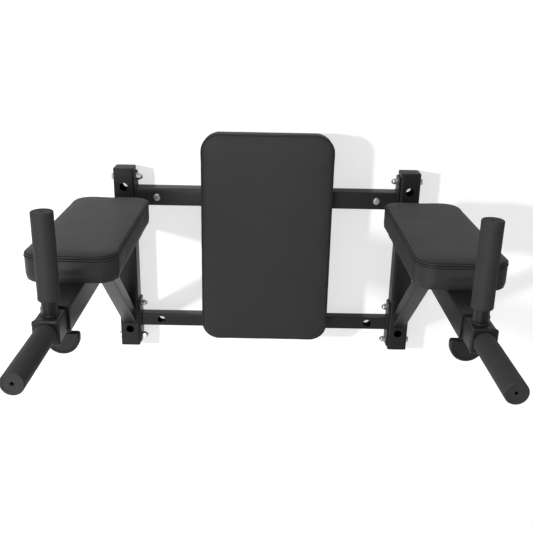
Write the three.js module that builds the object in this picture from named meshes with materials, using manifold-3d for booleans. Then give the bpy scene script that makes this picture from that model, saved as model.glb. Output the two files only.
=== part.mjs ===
// Wall-mounted dip and knee-raise station: a bolted steel wall frame, two padded arms held up by
// braces, a padded backrest, and two telescoping handle inserts that a clamp knob locks below each arm.
// Millimetres. X runs along the wall, +Y goes into the wall and +Z is up. The origin is the centre of
// the upper crossbar's wall face. Each size below can be changed by itself; the rest follows from them.

import * as THREE from "three";
import { mergeVertices } from "three/addons/utils/BufferGeometryUtils.js";
import Module from "manifold-3d";

const wasm = await Module();
wasm.setup();

// Clearances and cutting
const FIT_GAP = 0.3; // between a piece and the pocket, hole or seat that takes it
const CUT_OVERRUN = 6; // how far a cutter reaches past the faces that it opens

// Facet counts of round shapes
const CORNER_STEPS = 2;
const FASTENER_SIDES = 12;
const BOLT_HOLE_SIDES = 8;
const WALL_HOLE_SIDES = 16;
const TUBE_SIDES = 20;
const KNOB_SIDES = 12;

// Uprights: two square tubes that stand against the wall, plugged at both ends
const UPRIGHT_SPACING = 652;
const UPRIGHT_SECTION = 45;
const UPRIGHT_WALL = 2;
const UPRIGHT_CORNER_RADIUS = 4;
const UPRIGHT_ABOVE_UPPER_BAR = 63;
const UPRIGHT_BELOW_LOWER_BAR = 59;
const WALL_HOLE_DIAMETER = 19;
const UPPER_WALL_HOLE_RISE = 23; // above the upper bar's centre line
const LOWER_WALL_HOLE_DROP = 19; // below the lower bar's centre line
const CAP_FLANGE_THICKNESS = 3;
const CAP_EDGE_ROUNDING = 1.2;
const CAP_PLUG_DEPTH = 8;

// Crossbars between the uprights, with their backs flush with the wall
const BAR_SPACING = 311;
const UPPER_BAR_SECTION = 40;
const LOWER_BAR_SECTION = 30;
const BAR_WALL = 1.5;
const BAR_CORNER_RADIUS = 3;
const BAR_HOLE_INSET = 75; // each wall hole from its upright's centre line
const LOWER_BAR_HOLE_DIAMETER = 19.5;

// End plates welded across each bar's ends and bolted through the uprights
const PLATE_THICKNESS = 4;
const PLATE_DEPTH = 40;
const PLATE_HEIGHT = 110;
const PLATE_CORNER_RADIUS = 4;
const CROSS_BOLT_OFFSET = 43; // above and below each bar's centre line

// M8 fasteners: hex bolts, each one body with its washers and, through an upright, its domed cap nut
const BOLT_DIAMETER = 8;
const BOLT_HOLE_DIAMETER = 9;
const BOLT_HEAD_ACROSS_FLATS = 13;
const BOLT_HEAD_HEIGHT = 5.3;
const WASHER_DIAMETER = 17;
const WASHER_THICKNESS = 1.6;
const CAP_NUT_HEX_HEIGHT = 6.5;
const CAP_NUT_DOME_DIAMETER = 12;
const CAP_NUT_DOME_HEIGHT = 6.5;
const CAP_NUT_DOME_STEPS = 3;

// M10 button-head wall bolts in the upper crossbar
const WALL_BOLT_DIAMETER = 10;
const WALL_BOLT_HOLE_DIAMETER = 11;
const WALL_BOLT_HEAD_DIAMETER = 17.5;
const WALL_BOLT_HEAD_HEIGHT = 5.5;
const WALL_BOLT_SOCKET_ACROSS_FLATS = 6;
const WALL_BOLT_SOCKET_DEPTH = 3;

// Arms: square tubes welded to the uprights' fronts, open at the front mouth
const ARM_SECTION = 45;
const ARM_WALL = 1.5;
const ARM_CORNER_RADIUS = 4;
const ARM_LENGTH = 582;
const ARM_DROP = 47; // the arm's centre line below the upper bar's
const COLLAR_FLANGE_THICKNESS = 2;
const COLLAR_SLEEVE_DEPTH = 12;

// Braces from the foot of each upright to the underside of its arm
const BRACE_SECTION = 30;
const BRACE_WALL = 1.5;
const BRACE_CORNER_RADIUS = 3;
const BRACE_FOOT_DROP = 4; // its lowest corner below the lower bar's centre line
const BRACE_BEFORE_BOLT = 126; // its front corner on the arm, in front of the pad's back bolt

// Handle inserts that telescope in the arms
const INSERT_SECTION = 38;
const INSERT_WALL = 2;
const INSERT_CORNER_RADIUS = 3;
const INSERT_SHOWN = 54; // from the collar's front to the insert's front plate
const INSERT_HIDDEN = 130; // inside the arm's tube
const INSERT_PLATE_THICKNESS = 3;

// Handle tubes and their closed foam grips
const HANDLE_DIAMETER = 25;
const HANDLE_WALL = 2;
const HANDLE_SETBACK = 31; // the upright handle's axis behind the insert's front
const UPRIGHT_HANDLE_HEIGHT = 161.5; // above the insert, to the grip's top
const UPRIGHT_HANDLE_BARE = 24; // between the insert and the grip
const FORWARD_HANDLE_LENGTH = 153; // from the insert's front to the grip's end
const FORWARD_HANDLE_BARE = 1;
const GRIP_DIAMETER = 34;
const GRIP_END_THICKNESS = 5;
const GRIP_EDGE_ROUNDING = 3;
const GRIP_VENT_DIAMETER = 5;

// Clamp: a nut welded under the arm, a stud and a thumb knob shaped like an upright paddle
const CLAMP_BEHIND_MOUTH = 30;
const STUD_DIAMETER = 8;
const STUD_HOLE_DIAMETER = 9;
const STUD_IN_KNOB = 18;
const CLAMP_NUT_ACROSS_FLATS = 13;
const CLAMP_NUT_HEIGHT = 10;
const KNOB_DROP = 13; // the knob's top below the arm's underside
const KNOB_WIDTH = 55;
const KNOB_HEIGHT = 37;
const KNOB_THICKNESS = 14;
const KNOB_EDGE_ROUNDING = 2;

// Arm pads on the arms
const ARM_PAD_WIDTH = 160;
const ARM_PAD_THICKNESS = 48.5;
const ARM_PAD_CROWN = 3.5;
const ARM_PAD_CORNER_RADIUS = 35;
const ARM_PAD_BEHIND_MOUTH = 92; // its front edge behind the arm's mouth
const ARM_PAD_BEFORE_UPRIGHT = 87.5; // its back edge in front of the upright
const ARM_PAD_OUTSET = 3.5; // its centre line away from the backrest from the arm's
const ARM_PAD_BOLT_INSET = 65.5; // each bolt from the pad's nearer end

// Backrest in front of the two crossbars
const BACKREST_WIDTH = 293;
const BACKREST_THICKNESS = 47;
const BACKREST_CROWN = 5;
const BACKREST_CORNER_RADIUS = 39;
const BACKREST_RISE = 154; // its top above the upper bar's centre line
const BACKREST_DROP = 20; // its bottom below the lower bar's centre line
const BACKREST_BOLT_SPACING = 160;
const BOLT_ACCESS_DIAMETER = 18; // in the back of a bar, for a bolt head inside it
const SPACER_DIAMETER = 22;

// Upholstery that both kinds of pad share
const BOARD_THICKNESS = 12;
const BOARD_INSET = 10; // from the cushion's outline
const BOARD_CORNER_RADIUS = 26;
const BOLT_TIP_COVER = 1.5; // board left above a bolt's tip
const CUSHION_EDGE_ROUNDING = 10;
const CUSHION_DRAW_IN = 3; // how far the cover tucks in under the board
const CUSHION_CORNER_STEPS = 5;
const CUSHION_SIDE_STEPS = 4;
const CUSHION_EDGE_STEPS = 3;
const CUSHION_CROWN_STEPS = 3;
const SIDE_SWELL_HEIGHT_SHARES = [0, 0.25, 0.6]; // of the side below the rolled edge
const SIDE_SWELL_INSET_SHARES = [1, 0.35, 0]; // of the draw-in at those heights

// Places worked out from the sizes above
const ARM_Z = -ARM_DROP;
const ARM_TOP_Z = ARM_Z + ARM_SECTION / 2;
const ARM_UNDERSIDE_Z = ARM_Z - ARM_SECTION / 2;
const LOWER_BAR_Z = -BAR_SPACING;
const UPRIGHT_FRONT_Y = -UPRIGHT_SECTION;
const ARM_MOUTH_Y = UPRIGHT_FRONT_Y - ARM_LENGTH;
const COLLAR_FRONT_Y = ARM_MOUTH_Y - COLLAR_FLANGE_THICKNESS;
const INSERT_FRONT_Y = COLLAR_FRONT_Y - INSERT_SHOWN;
const INSERT_BACK_Y = ARM_MOUTH_Y + INSERT_HIDDEN;
const INSERT_UNDERSIDE_Z = ARM_Z - INSERT_SECTION / 2;
const CLAMP_Y = ARM_MOUTH_Y + CLAMP_BEHIND_MOUTH;
const KNOB_TOP_Z = ARM_UNDERSIDE_Z - KNOB_DROP;
const ARM_PAD_LENGTH = ARM_LENGTH - ARM_PAD_BEHIND_MOUTH - ARM_PAD_BEFORE_UPRIGHT;
const ARM_PAD_CENTRE_Y = ARM_MOUTH_Y + ARM_PAD_BEHIND_MOUTH + ARM_PAD_LENGTH / 2;
const ARM_PAD_BOLT_SPACING = ARM_PAD_LENGTH - 2 * ARM_PAD_BOLT_INSET;
const ARM_PAD_BACK_BOLT_Y = ARM_PAD_CENTRE_Y + ARM_PAD_BOLT_SPACING / 2;
const BRACE_REACH = UPRIGHT_FRONT_Y - ARM_PAD_BACK_BOLT_Y + BRACE_BEFORE_BOLT;
const BACKREST_HEIGHT = BACKREST_RISE + BAR_SPACING + BACKREST_DROP;
const BACKREST_CENTRE_Z = BACKREST_RISE - BACKREST_HEIGHT / 2;
const BAR_LENGTH = UPRIGHT_SPACING - UPRIGHT_SECTION - 2 * PLATE_THICKNESS;
const BAR_HOLE_SPACING = UPRIGHT_SPACING - 2 * BAR_HOLE_INSET;
const CROSS_BOLT_HEIGHTS = [0, LOWER_BAR_Z].flatMap((z) => [z + CROSS_BOLT_OFFSET, z - CROSS_BOLT_OFFSET]);
const SPACER_LENGTH = UPPER_BAR_SECTION - LOWER_BAR_SECTION;

// Materials
function finish(color, roughness, metalness) {
  return new THREE.MeshStandardMaterial({ color, roughness, metalness });
}
const blackSteel = finish(0x1d1d1f, 0.5, 0.4);
const zinc = finish(0xb9bbbd, 0.35, 0.9);
const blackPlastic = finish(0x161617, 0.55, 0);
const blackVinyl = finish(0x2c2c2e, 0.45, 0);
const foamRubber = finish(0x303032, 0.85, 0);
const plywood = finish(0x8a6b48, 0.8, 0);

// Solids: closed meshes with shared corners, joined and cut
function weld(geometry) {
  const bare = geometry.clone();
  bare.deleteAttribute("normal");
  bare.deleteAttribute("uv");
  const merged = mergeVertices(bare);
  const corners = merged.index.array;
  const kept = [];
  for (let i = 0; i < corners.length; i += 3) {
    const [a, b, c] = corners.slice(i, i + 3);
    if (a !== b && b !== c && c !== a) {
      kept.push(a, b, c);
    }
  }
  merged.setIndex(kept);
  return merged;
}

function toSolid(geometry) {
  const merged = weld(geometry);
  return new wasm.Manifold(
    new wasm.Mesh({
      numProp: 3,
      vertProperties: new Float32Array(merged.attributes.position.array),
      triVerts: new Uint32Array(merged.index.array),
    }),
  );
}

function toGeometry(solid) {
  const { vertProperties, triVerts } = solid.getMesh();
  const geometry = new THREE.BufferGeometry();
  geometry.setAttribute("position", new THREE.BufferAttribute(new Float32Array(vertProperties), 3));
  geometry.setIndex(new THREE.BufferAttribute(new Uint32Array(triVerts), 1));
  geometry.computeVertexNormals();
  return geometry;
}

function cut(geometry, cutters) {
  return toGeometry(cutters.reduce((solid, cutter) => solid.subtract(toSolid(cutter)), toSolid(geometry)));
}

function join(geometries) {
  return toGeometry(geometries.map(toSolid).reduce((sum, solid) => sum.add(solid)));
}

function keepInside(geometry, block) {
  return toGeometry(toSolid(geometry).intersect(toSolid(block)));
}

// Outlines and basic bodies, all raised along +Z from z = 0
function roundedRectangle(width, height, radius) {
  const x = width / 2 - radius;
  const y = height / 2 - radius;
  const outline = new THREE.Shape();
  outline.absarc(x, y, radius, 0, Math.PI / 2);
  outline.absarc(-x, y, radius, Math.PI / 2, Math.PI);
  outline.absarc(-x, -y, radius, Math.PI, 1.5 * Math.PI);
  outline.absarc(x, -y, radius, 1.5 * Math.PI, 2 * Math.PI);
  return outline;
}

function raise(outline, depth) {
  return new THREE.ExtrudeGeometry(outline, { depth, bevelEnabled: false, curveSegments: CORNER_STEPS });
}

function squareTube(section, wall, cornerRadius, length) {
  const outline = roundedRectangle(section, section, cornerRadius);
  const bore = section - 2 * wall;
  outline.holes.push(roundedRectangle(bore, bore, Math.max(cornerRadius - wall, 0)));
  return raise(outline, length);
}

function turned(profile, sides) {
  const points = profile.map(([radius, height]) => new THREE.Vector2(radius, height));
  return new THREE.LatheGeometry(points, sides).rotateX(Math.PI / 2);
}

function rod(diameter, length, sides = FASTENER_SIDES) {
  const radius = diameter / 2;
  return turned([[0, 0], [radius, 0], [radius, length], [0, length]], sides);
}

function pipe(outerDiameter, innerDiameter, length, sides) {
  const outer = outerDiameter / 2;
  const inner = innerDiameter / 2;
  return turned([[inner, 0], [outer, 0], [outer, length], [inner, length], [inner, 0]], sides);
}

function hexagon(acrossFlats, height) {
  return rod((acrossFlats * 2) / Math.sqrt(3), height, 6);
}

// A round cutter along X, Y or Z whose middle is at the given place
function drill(diameter, axis, length, [x, y, z], sides = BOLT_HOLE_SIDES) {
  const tool = rod(diameter, length + 2 * CUT_OVERRUN, sides).translate(0, 0, -length / 2 - CUT_OVERRUN);
  if (axis === "x") {
    tool.rotateY(Math.PI / 2);
  }
  if (axis === "y") {
    tool.rotateX(Math.PI / 2);
  }
  return tool.translate(x, y, z);
}

// Named meshes
const station = new THREE.Group();

function add(parent, name, geometry, material, [x, y, z] = [0, 0, 0]) {
  const mesh = new THREE.Mesh(geometry, material);
  mesh.name = name;
  mesh.position.set(x, y, z);
  parent.add(mesh);
}

// Fasteners, with the face under the head at z = 0 and the shank up +Z
function hexBolt(shankLength) {
  const head = hexagon(BOLT_HEAD_ACROSS_FLATS, BOLT_HEAD_HEIGHT).translate(0, 0, -BOLT_HEAD_HEIGHT);
  const shank = rod(BOLT_DIAMETER, shankLength + BOLT_HEAD_HEIGHT / 2).translate(0, 0, -BOLT_HEAD_HEIGHT / 2);
  return join([head, shank, rod(WASHER_DIAMETER, WASHER_THICKNESS)]);
}

function capNut() {
  const radius = CAP_NUT_DOME_DIAMETER / 2;
  const profile = [[0, 0], [radius, 0]];
  for (let i = 0; i < CAP_NUT_DOME_STEPS; i += 1) {
    const angle = (i / CAP_NUT_DOME_STEPS) * (Math.PI / 2);
    profile.push([radius * Math.cos(angle), CAP_NUT_HEX_HEIGHT + CAP_NUT_DOME_HEIGHT * Math.sin(angle)]);
  }
  profile.push([0, CAP_NUT_HEX_HEIGHT + CAP_NUT_DOME_HEIGHT]);
  return join([hexagon(BOLT_HEAD_ACROSS_FLATS, CAP_NUT_HEX_HEIGHT), turned(profile, FASTENER_SIDES)]);
}

// A hex bolt that clamps the given thickness between its washers, closed by its cap nut
function cappedBolt(grip) {
  const farWasher = WASHER_THICKNESS + grip;
  const nutSeat = farWasher + WASHER_THICKNESS;
  return join([
    hexBolt(nutSeat + CAP_NUT_HEX_HEIGHT),
    rod(WASHER_DIAMETER, WASHER_THICKNESS).translate(0, 0, farWasher),
    capNut().translate(0, 0, nutSeat),
  ]);
}

function buttonBolt(shankLength) {
  const radius = WALL_BOLT_HEAD_DIAMETER / 2;
  const shoulder = WALL_BOLT_SOCKET_ACROSS_FLATS;
  const profile = [
    [0, -WALL_BOLT_HEAD_HEIGHT],
    [shoulder, -WALL_BOLT_HEAD_HEIGHT],
    [(radius + shoulder) / 2, -WALL_BOLT_HEAD_HEIGHT * Math.sin(Math.PI / 3)],
    [radius, -WALL_BOLT_HEAD_HEIGHT / 4],
    [radius, 0],
    [0, 0],
  ];
  const head = turned(profile, FASTENER_SIDES);
  const overlap = WALL_BOLT_HEAD_HEIGHT / 4;
  const shank = rod(WALL_BOLT_DIAMETER, shankLength + overlap).translate(0, 0, -overlap);
  const socket = hexagon(WALL_BOLT_SOCKET_ACROSS_FLATS, WALL_BOLT_SOCKET_DEPTH + CUT_OVERRUN);
  return cut(join([head, shank]), [socket.translate(0, 0, -WALL_BOLT_HEAD_HEIGHT - CUT_OVERRUN)]);
}

// Wall frame
function upright() {
  const height = UPRIGHT_ABOVE_UPPER_BAR + BAR_SPACING + UPRIGHT_BELOW_LOWER_BAR;
  const tube = squareTube(UPRIGHT_SECTION, UPRIGHT_WALL, UPRIGHT_CORNER_RADIUS, height);
  tube.translate(0, 0, LOWER_BAR_Z - UPRIGHT_BELOW_LOWER_BAR);
  const wallHoles = [UPPER_WALL_HOLE_RISE, LOWER_BAR_Z - LOWER_WALL_HOLE_DROP].map((z) =>
    drill(WALL_HOLE_DIAMETER, "y", UPRIGHT_SECTION, [0, 0, z], WALL_HOLE_SIDES),
  );
  const boltHoles = CROSS_BOLT_HEIGHTS.map((z) => drill(BOLT_HOLE_DIAMETER, "x", UPRIGHT_SECTION, [0, 0, z]));
  return cut(tube, [...wallHoles, ...boltHoles]);
}

// A plug cap with its flange's seat at z = 0, its plug down -Z
function uprightCap() {
  const plug = UPRIGHT_SECTION - 2 * UPRIGHT_WALL - 2 * FIT_GAP;
  const plugRadius = Math.max(UPRIGHT_CORNER_RADIUS - UPRIGHT_WALL, 0);
  const inset = 2 * CAP_EDGE_ROUNDING;
  const flange = new THREE.ExtrudeGeometry(
    roundedRectangle(UPRIGHT_SECTION - inset, UPRIGHT_SECTION - inset, UPRIGHT_CORNER_RADIUS),
    {
      depth: CAP_FLANGE_THICKNESS - CAP_EDGE_ROUNDING,
      bevelThickness: CAP_EDGE_ROUNDING,
      bevelSize: CAP_EDGE_ROUNDING,
      bevelSegments: 1,
      curveSegments: CORNER_STEPS,
    },
  );
  const block = raise(roundedRectangle(plug, plug, plugRadius), CAP_PLUG_DEPTH + CAP_FLANGE_THICKNESS / 2);
  const seat = raise(roundedRectangle(2 * UPRIGHT_SECTION, 2 * UPRIGHT_SECTION, 0), CUT_OVERRUN);
  const head = cut(flange, [seat.translate(0, 0, -CUT_OVERRUN)]);
  return join([head, block.translate(0, 0, -CAP_PLUG_DEPTH)]);
}

function endPlate() {
  const plate = raise(roundedRectangle(PLATE_HEIGHT, PLATE_DEPTH, PLATE_CORNER_RADIUS), PLATE_THICKNESS);
  plate.translate(0, 0, -PLATE_THICKNESS / 2).rotateY(Math.PI / 2);
  const boltY = (PLATE_DEPTH - UPRIGHT_SECTION) / 2;
  const holes = [CROSS_BOLT_OFFSET, -CROSS_BOLT_OFFSET].map((z) =>
    drill(BOLT_HOLE_DIAMETER, "x", PLATE_THICKNESS, [0, boltY, z]),
  );
  return cut(plate, holes);
}

// A crossbar lies along X, with its back at y = 0
function crossbar(section, wallHoleDiameter) {
  const bar = squareTube(section, BAR_WALL, BAR_CORNER_RADIUS, BAR_LENGTH);
  bar.translate(0, 0, -BAR_LENGTH / 2).rotateY(Math.PI / 2).translate(0, -section / 2, 0);
  const cutters = [];
  for (const side of [-1, 1]) {
    const boltX = (side * BACKREST_BOLT_SPACING) / 2;
    const wallHole = [(side * BAR_HOLE_SPACING) / 2, -section / 2, 0];
    cutters.push(drill(wallHoleDiameter, "y", section, wallHole, WALL_HOLE_SIDES));
    cutters.push(drill(BOLT_HOLE_DIAMETER, "y", section, [boltX, -section / 2, 0]));
    cutters.push(drill(BOLT_ACCESS_DIAMETER, "y", BAR_WALL, [boltX, 0, 0]));
  }
  return cut(bar, cutters);
}

// The lower bar is thinner, so a welded spacer carries each of its backrest bolts
function lowerCrossbar() {
  const spacers = [-1, 1].map((side) => {
    const spacer = pipe(SPACER_DIAMETER, BOLT_HOLE_DIAMETER, SPACER_LENGTH + BAR_WALL / 2, FASTENER_SIDES);
    spacer.rotateX(Math.PI / 2);
    return spacer.translate((side * BACKREST_BOLT_SPACING) / 2, BAR_WALL / 2 - LOWER_BAR_SECTION, 0);
  });
  return join([crossbar(LOWER_BAR_SECTION, LOWER_BAR_HOLE_DIAMETER), ...spacers]);
}

// A cross bolt runs along X through an upright and an end plate, with its head on the outside
function crossBolt(side) {
  const bolt = cappedBolt(UPRIGHT_SECTION + PLATE_THICKNESS + 2 * FIT_GAP);
  bolt.translate(0, 0, -WASHER_THICKNESS - FIT_GAP - UPRIGHT_SECTION / 2);
  return bolt.rotateY((-side * Math.PI) / 2);
}

// Arms
function armTube() {
  const tube = squareTube(ARM_SECTION, ARM_WALL, ARM_CORNER_RADIUS, ARM_LENGTH).rotateX(Math.PI / 2);
  const padHoles = [-1, 1].map((end) => {
    const y = ARM_PAD_CENTRE_Y - UPRIGHT_FRONT_Y + (end * ARM_PAD_BOLT_SPACING) / 2;
    return drill(BOLT_HOLE_DIAMETER, "z", ARM_SECTION, [0, y, 0]);
  });
  const studPlace = [0, CLAMP_Y - UPRIGHT_FRONT_Y, -ARM_SECTION / 2];
  const studHole = drill(STUD_HOLE_DIAMETER, "z", ARM_WALL, studPlace, FASTENER_SIDES);
  return cut(tube, [...padHoles, studHole]);
}

function brace() {
  const rise = ARM_UNDERSIDE_Z - LOWER_BAR_Z + BRACE_FOOT_DROP;
  const slope = Math.atan2(rise, BRACE_REACH);
  const length = Math.hypot(rise, BRACE_REACH) + 4 * BRACE_SECTION;
  const tube = squareTube(BRACE_SECTION, BRACE_WALL, BRACE_CORNER_RADIUS, length);
  tube.translate(0, BRACE_SECTION / 2, -2 * BRACE_SECTION).rotateX(Math.PI / 2 - slope);
  tube.translate(0, UPRIGHT_FRONT_Y, LOWER_BAR_Z - BRACE_FOOT_DROP);
  const room = raise(roundedRectangle(2 * BRACE_SECTION, ARM_LENGTH, 0), rise + 2 * BRACE_SECTION);
  const roomBottom = ARM_UNDERSIDE_Z - FIT_GAP - rise - 2 * BRACE_SECTION;
  room.translate(0, UPRIGHT_FRONT_Y - FIT_GAP - ARM_LENGTH / 2, roomBottom);
  return keepInside(tube, room);
}

// The collar's flange covers the arm's mouth and its sleeve guides the insert; it points along -Y
function collar() {
  const bore = INSERT_SECTION + 2 * FIT_GAP;
  const boreRadius = INSERT_CORNER_RADIUS + FIT_GAP;
  const sleeve = ARM_SECTION - 2 * ARM_WALL - 2 * FIT_GAP;
  const ring = (outer, radius, depth) => {
    const outline = roundedRectangle(outer, outer, radius);
    outline.holes.push(roundedRectangle(bore, bore, boreRadius));
    return raise(outline, depth);
  };
  const flange = ring(ARM_SECTION, ARM_CORNER_RADIUS, COLLAR_FLANGE_THICKNESS);
  const sleeveRadius = Math.max(ARM_CORNER_RADIUS - ARM_WALL, 0);
  const guide = ring(sleeve, sleeveRadius, COLLAR_SLEEVE_DEPTH + COLLAR_FLANGE_THICKNESS / 2);
  return join([flange, guide.translate(0, 0, -COLLAR_SLEEVE_DEPTH)]).rotateX(Math.PI / 2);
}

function clampNut() {
  const middle = [0, 0, CLAMP_NUT_HEIGHT / 2];
  const bore = drill(STUD_DIAMETER + 2 * FIT_GAP, "z", CLAMP_NUT_HEIGHT, middle, FASTENER_SIDES);
  return cut(hexagon(CLAMP_NUT_ACROSS_FLATS, CLAMP_NUT_HEIGHT), [bore]);
}

// Clamp knob and stud, about the stud's axis, with the knob's top at z = 0: the knob's blade faces
// forward, straight across its top and half-round at its bottom
function clampKnob() {
  const radius = KNOB_WIDTH / 2 - KNOB_EDGE_ROUNDING;
  const outline = new THREE.Shape();
  outline.absarc(0, KNOB_WIDTH / 2 - KNOB_HEIGHT, radius, Math.PI, 2 * Math.PI);
  outline.lineTo(radius, -KNOB_EDGE_ROUNDING);
  outline.lineTo(-radius, -KNOB_EDGE_ROUNDING);
  const body = new THREE.ExtrudeGeometry(outline, {
    depth: KNOB_THICKNESS - 2 * KNOB_EDGE_ROUNDING,
    bevelThickness: KNOB_EDGE_ROUNDING,
    bevelSize: KNOB_EDGE_ROUNDING,
    bevelSegments: 2,
    curveSegments: KNOB_SIDES,
  });
  body.translate(0, 0, KNOB_EDGE_ROUNDING - KNOB_THICKNESS / 2).rotateX(Math.PI / 2);
  const socket = rod(STUD_DIAMETER + 2 * FIT_GAP, STUD_IN_KNOB + FIT_GAP + CUT_OVERRUN);
  return cut(body, [socket.translate(0, 0, -STUD_IN_KNOB - FIT_GAP)]);
}

function clampStud() {
  const length = STUD_IN_KNOB + INSERT_UNDERSIDE_Z - FIT_GAP - KNOB_TOP_Z;
  return rod(STUD_DIAMETER, length).translate(0, 0, -STUD_IN_KNOB);
}

// Handle insert: a square tube with a plate welded over its front end; its front is at y = 0
function handleInsert() {
  const length = INSERT_BACK_Y - INSERT_FRONT_Y;
  const tube = squareTube(INSERT_SECTION, INSERT_WALL, INSERT_CORNER_RADIUS, length);
  const outline = roundedRectangle(INSERT_SECTION, INSERT_SECTION, INSERT_CORNER_RADIUS);
  const plate = raise(outline, INSERT_PLATE_THICKNESS).translate(0, 0, length - INSERT_PLATE_THICKNESS);
  return join([tube, plate]).translate(0, 0, -length).rotateX(Math.PI / 2);
}

function handleTube(reach) {
  const length = reach - GRIP_END_THICKNESS - FIT_GAP;
  return pipe(HANDLE_DIAMETER, HANDLE_DIAMETER - 2 * HANDLE_WALL, length, TUBE_SIDES);
}

// A foam grip slid over its tube, closed at the top but for a small vent
function foamGrip(length) {
  const outer = GRIP_DIAMETER / 2;
  const bore = HANDLE_DIAMETER / 2 + FIT_GAP;
  const vent = GRIP_VENT_DIAMETER / 2;
  const rounding = GRIP_EDGE_ROUNDING;
  const halfRounding = rounding * (1 - Math.SQRT1_2);
  const profile = [
    [bore, 0],
    [outer, 0],
    [outer, length - rounding],
    [outer - halfRounding, length - halfRounding],
    [outer - rounding, length],
    [vent, length],
    [vent, length - GRIP_END_THICKNESS],
    [bore, length - GRIP_END_THICKNESS],
    [bore, 0],
  ];
  return turned(profile, TUBE_SIDES);
}

// Upholstered pads lie on z = 0, with their width along X and their length along Y
function padOutline(pad, inset) {
  const radius = Math.max(pad.cornerRadius - inset, inset);
  const x = pad.width / 2 - inset - radius;
  const y = pad.length / 2 - inset - radius;
  const centres = [[x, y], [-x, y], [-x, -y], [x, -y]];
  const ring = [];
  centres.forEach(([centreX, centreY], quarter) => {
    for (let i = 0; i <= CUSHION_CORNER_STEPS; i += 1) {
      const angle = (quarter + i / CUSHION_CORNER_STEPS) * (Math.PI / 2);
      ring.push([centreX + radius * Math.cos(angle), centreY + radius * Math.sin(angle)]);
    }
    const [fromX, fromY] = ring[ring.length - 1];
    const [nextX, nextY] = centres[(quarter + 1) % centres.length];
    const turn = (quarter + 1) * (Math.PI / 2);
    const [toX, toY] = [nextX + radius * Math.cos(turn), nextY + radius * Math.sin(turn)];
    for (let i = 1; i < CUSHION_SIDE_STEPS; i += 1) {
      const t = i / CUSHION_SIDE_STEPS;
      ring.push([fromX + (toX - fromX) * t, fromY + (toY - fromY) * t]);
    }
  });
  return ring;
}

function cushionRings(pad) {
  const rings = [];
  const sideTop = pad.thickness - CUSHION_EDGE_ROUNDING;
  SIDE_SWELL_HEIGHT_SHARES.forEach((heightShare, i) => {
    const inset = CUSHION_DRAW_IN * SIDE_SWELL_INSET_SHARES[i];
    rings.push(padOutline(pad, inset).map(([x, y]) => [x, y, sideTop * heightShare]));
  });
  for (let i = 0; i < CUSHION_EDGE_STEPS; i += 1) {
    const angle = (i / CUSHION_EDGE_STEPS) * (Math.PI / 2);
    const inset = CUSHION_EDGE_ROUNDING * (1 - Math.cos(angle));
    const z = sideTop + CUSHION_EDGE_ROUNDING * Math.sin(angle);
    rings.push(padOutline(pad, inset).map(([x, y]) => [x, y, z]));
  }
  const topRing = padOutline(pad, CUSHION_EDGE_ROUNDING);
  for (let i = 0; i < CUSHION_CROWN_STEPS; i += 1) {
    const t = 1 - i / CUSHION_CROWN_STEPS;
    const z = pad.thickness + pad.crown * (1 - t * t);
    rings.push(topRing.map(([x, y]) => [x * t, y * t, z]));
  }
  return rings;
}

function cushionBody(pad) {
  const rings = cushionRings(pad);
  const count = rings[0].length;
  const positions = [...rings.flat(2), 0, 0, 0, 0, 0, pad.thickness + pad.crown];
  const underside = rings.length * count;
  const summit = underside + 1;
  const lastRing = (rings.length - 1) * count;
  const corners = [];
  for (let i = 0; i < count; i += 1) {
    const next = (i + 1) % count;
    corners.push(underside, next, i, summit, lastRing + i, lastRing + next);
    for (let r = 0; r < lastRing; r += count) {
      corners.push(r + i, r + next, r + count + next, r + i, r + count + next, r + count + i);
    }
  }
  const geometry = new THREE.BufferGeometry();
  geometry.setAttribute("position", new THREE.Float32BufferAttribute(positions, 3));
  geometry.setIndex(corners);
  return geometry;
}

function boardOutline(pad, growth) {
  const width = pad.width - 2 * BOARD_INSET + 2 * growth;
  const length = pad.length - 2 * BOARD_INSET + 2 * growth;
  return roundedRectangle(width, length, BOARD_CORNER_RADIUS + growth);
}

// The cushion wraps its board, which fills a pocket in the underside
function cushion(pad) {
  const pocket = raise(boardOutline(pad, FIT_GAP), BOARD_THICKNESS + FIT_GAP + CUT_OVERRUN);
  return cut(cushionBody(pad), [pocket.translate(0, 0, -CUT_OVERRUN)]);
}

function board(pad) {
  const holes = pad.bolts.map(({ x, y }) => {
    const depth = BOARD_THICKNESS - BOLT_TIP_COVER + CUT_OVERRUN;
    return rod(BOLT_HOLE_DIAMETER, depth, BOLT_HOLE_SIDES).translate(x, y, -CUT_OVERRUN);
  });
  return cut(raise(boardOutline(pad, 0), BOARD_THICKNESS), holes);
}

// A pad's bolts; each bolt's seat is how far its bearing face lies below the board
function addPadBolts(group, pad) {
  for (const { name, x, y, seat } of pad.bolts) {
    const face = seat + WASHER_THICKNESS + FIT_GAP;
    const tip = BOARD_THICKNESS - BOLT_TIP_COVER - FIT_GAP;
    add(group, name, hexBolt(face + tip), zinc, [x, y, -face]);
  }
}

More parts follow.
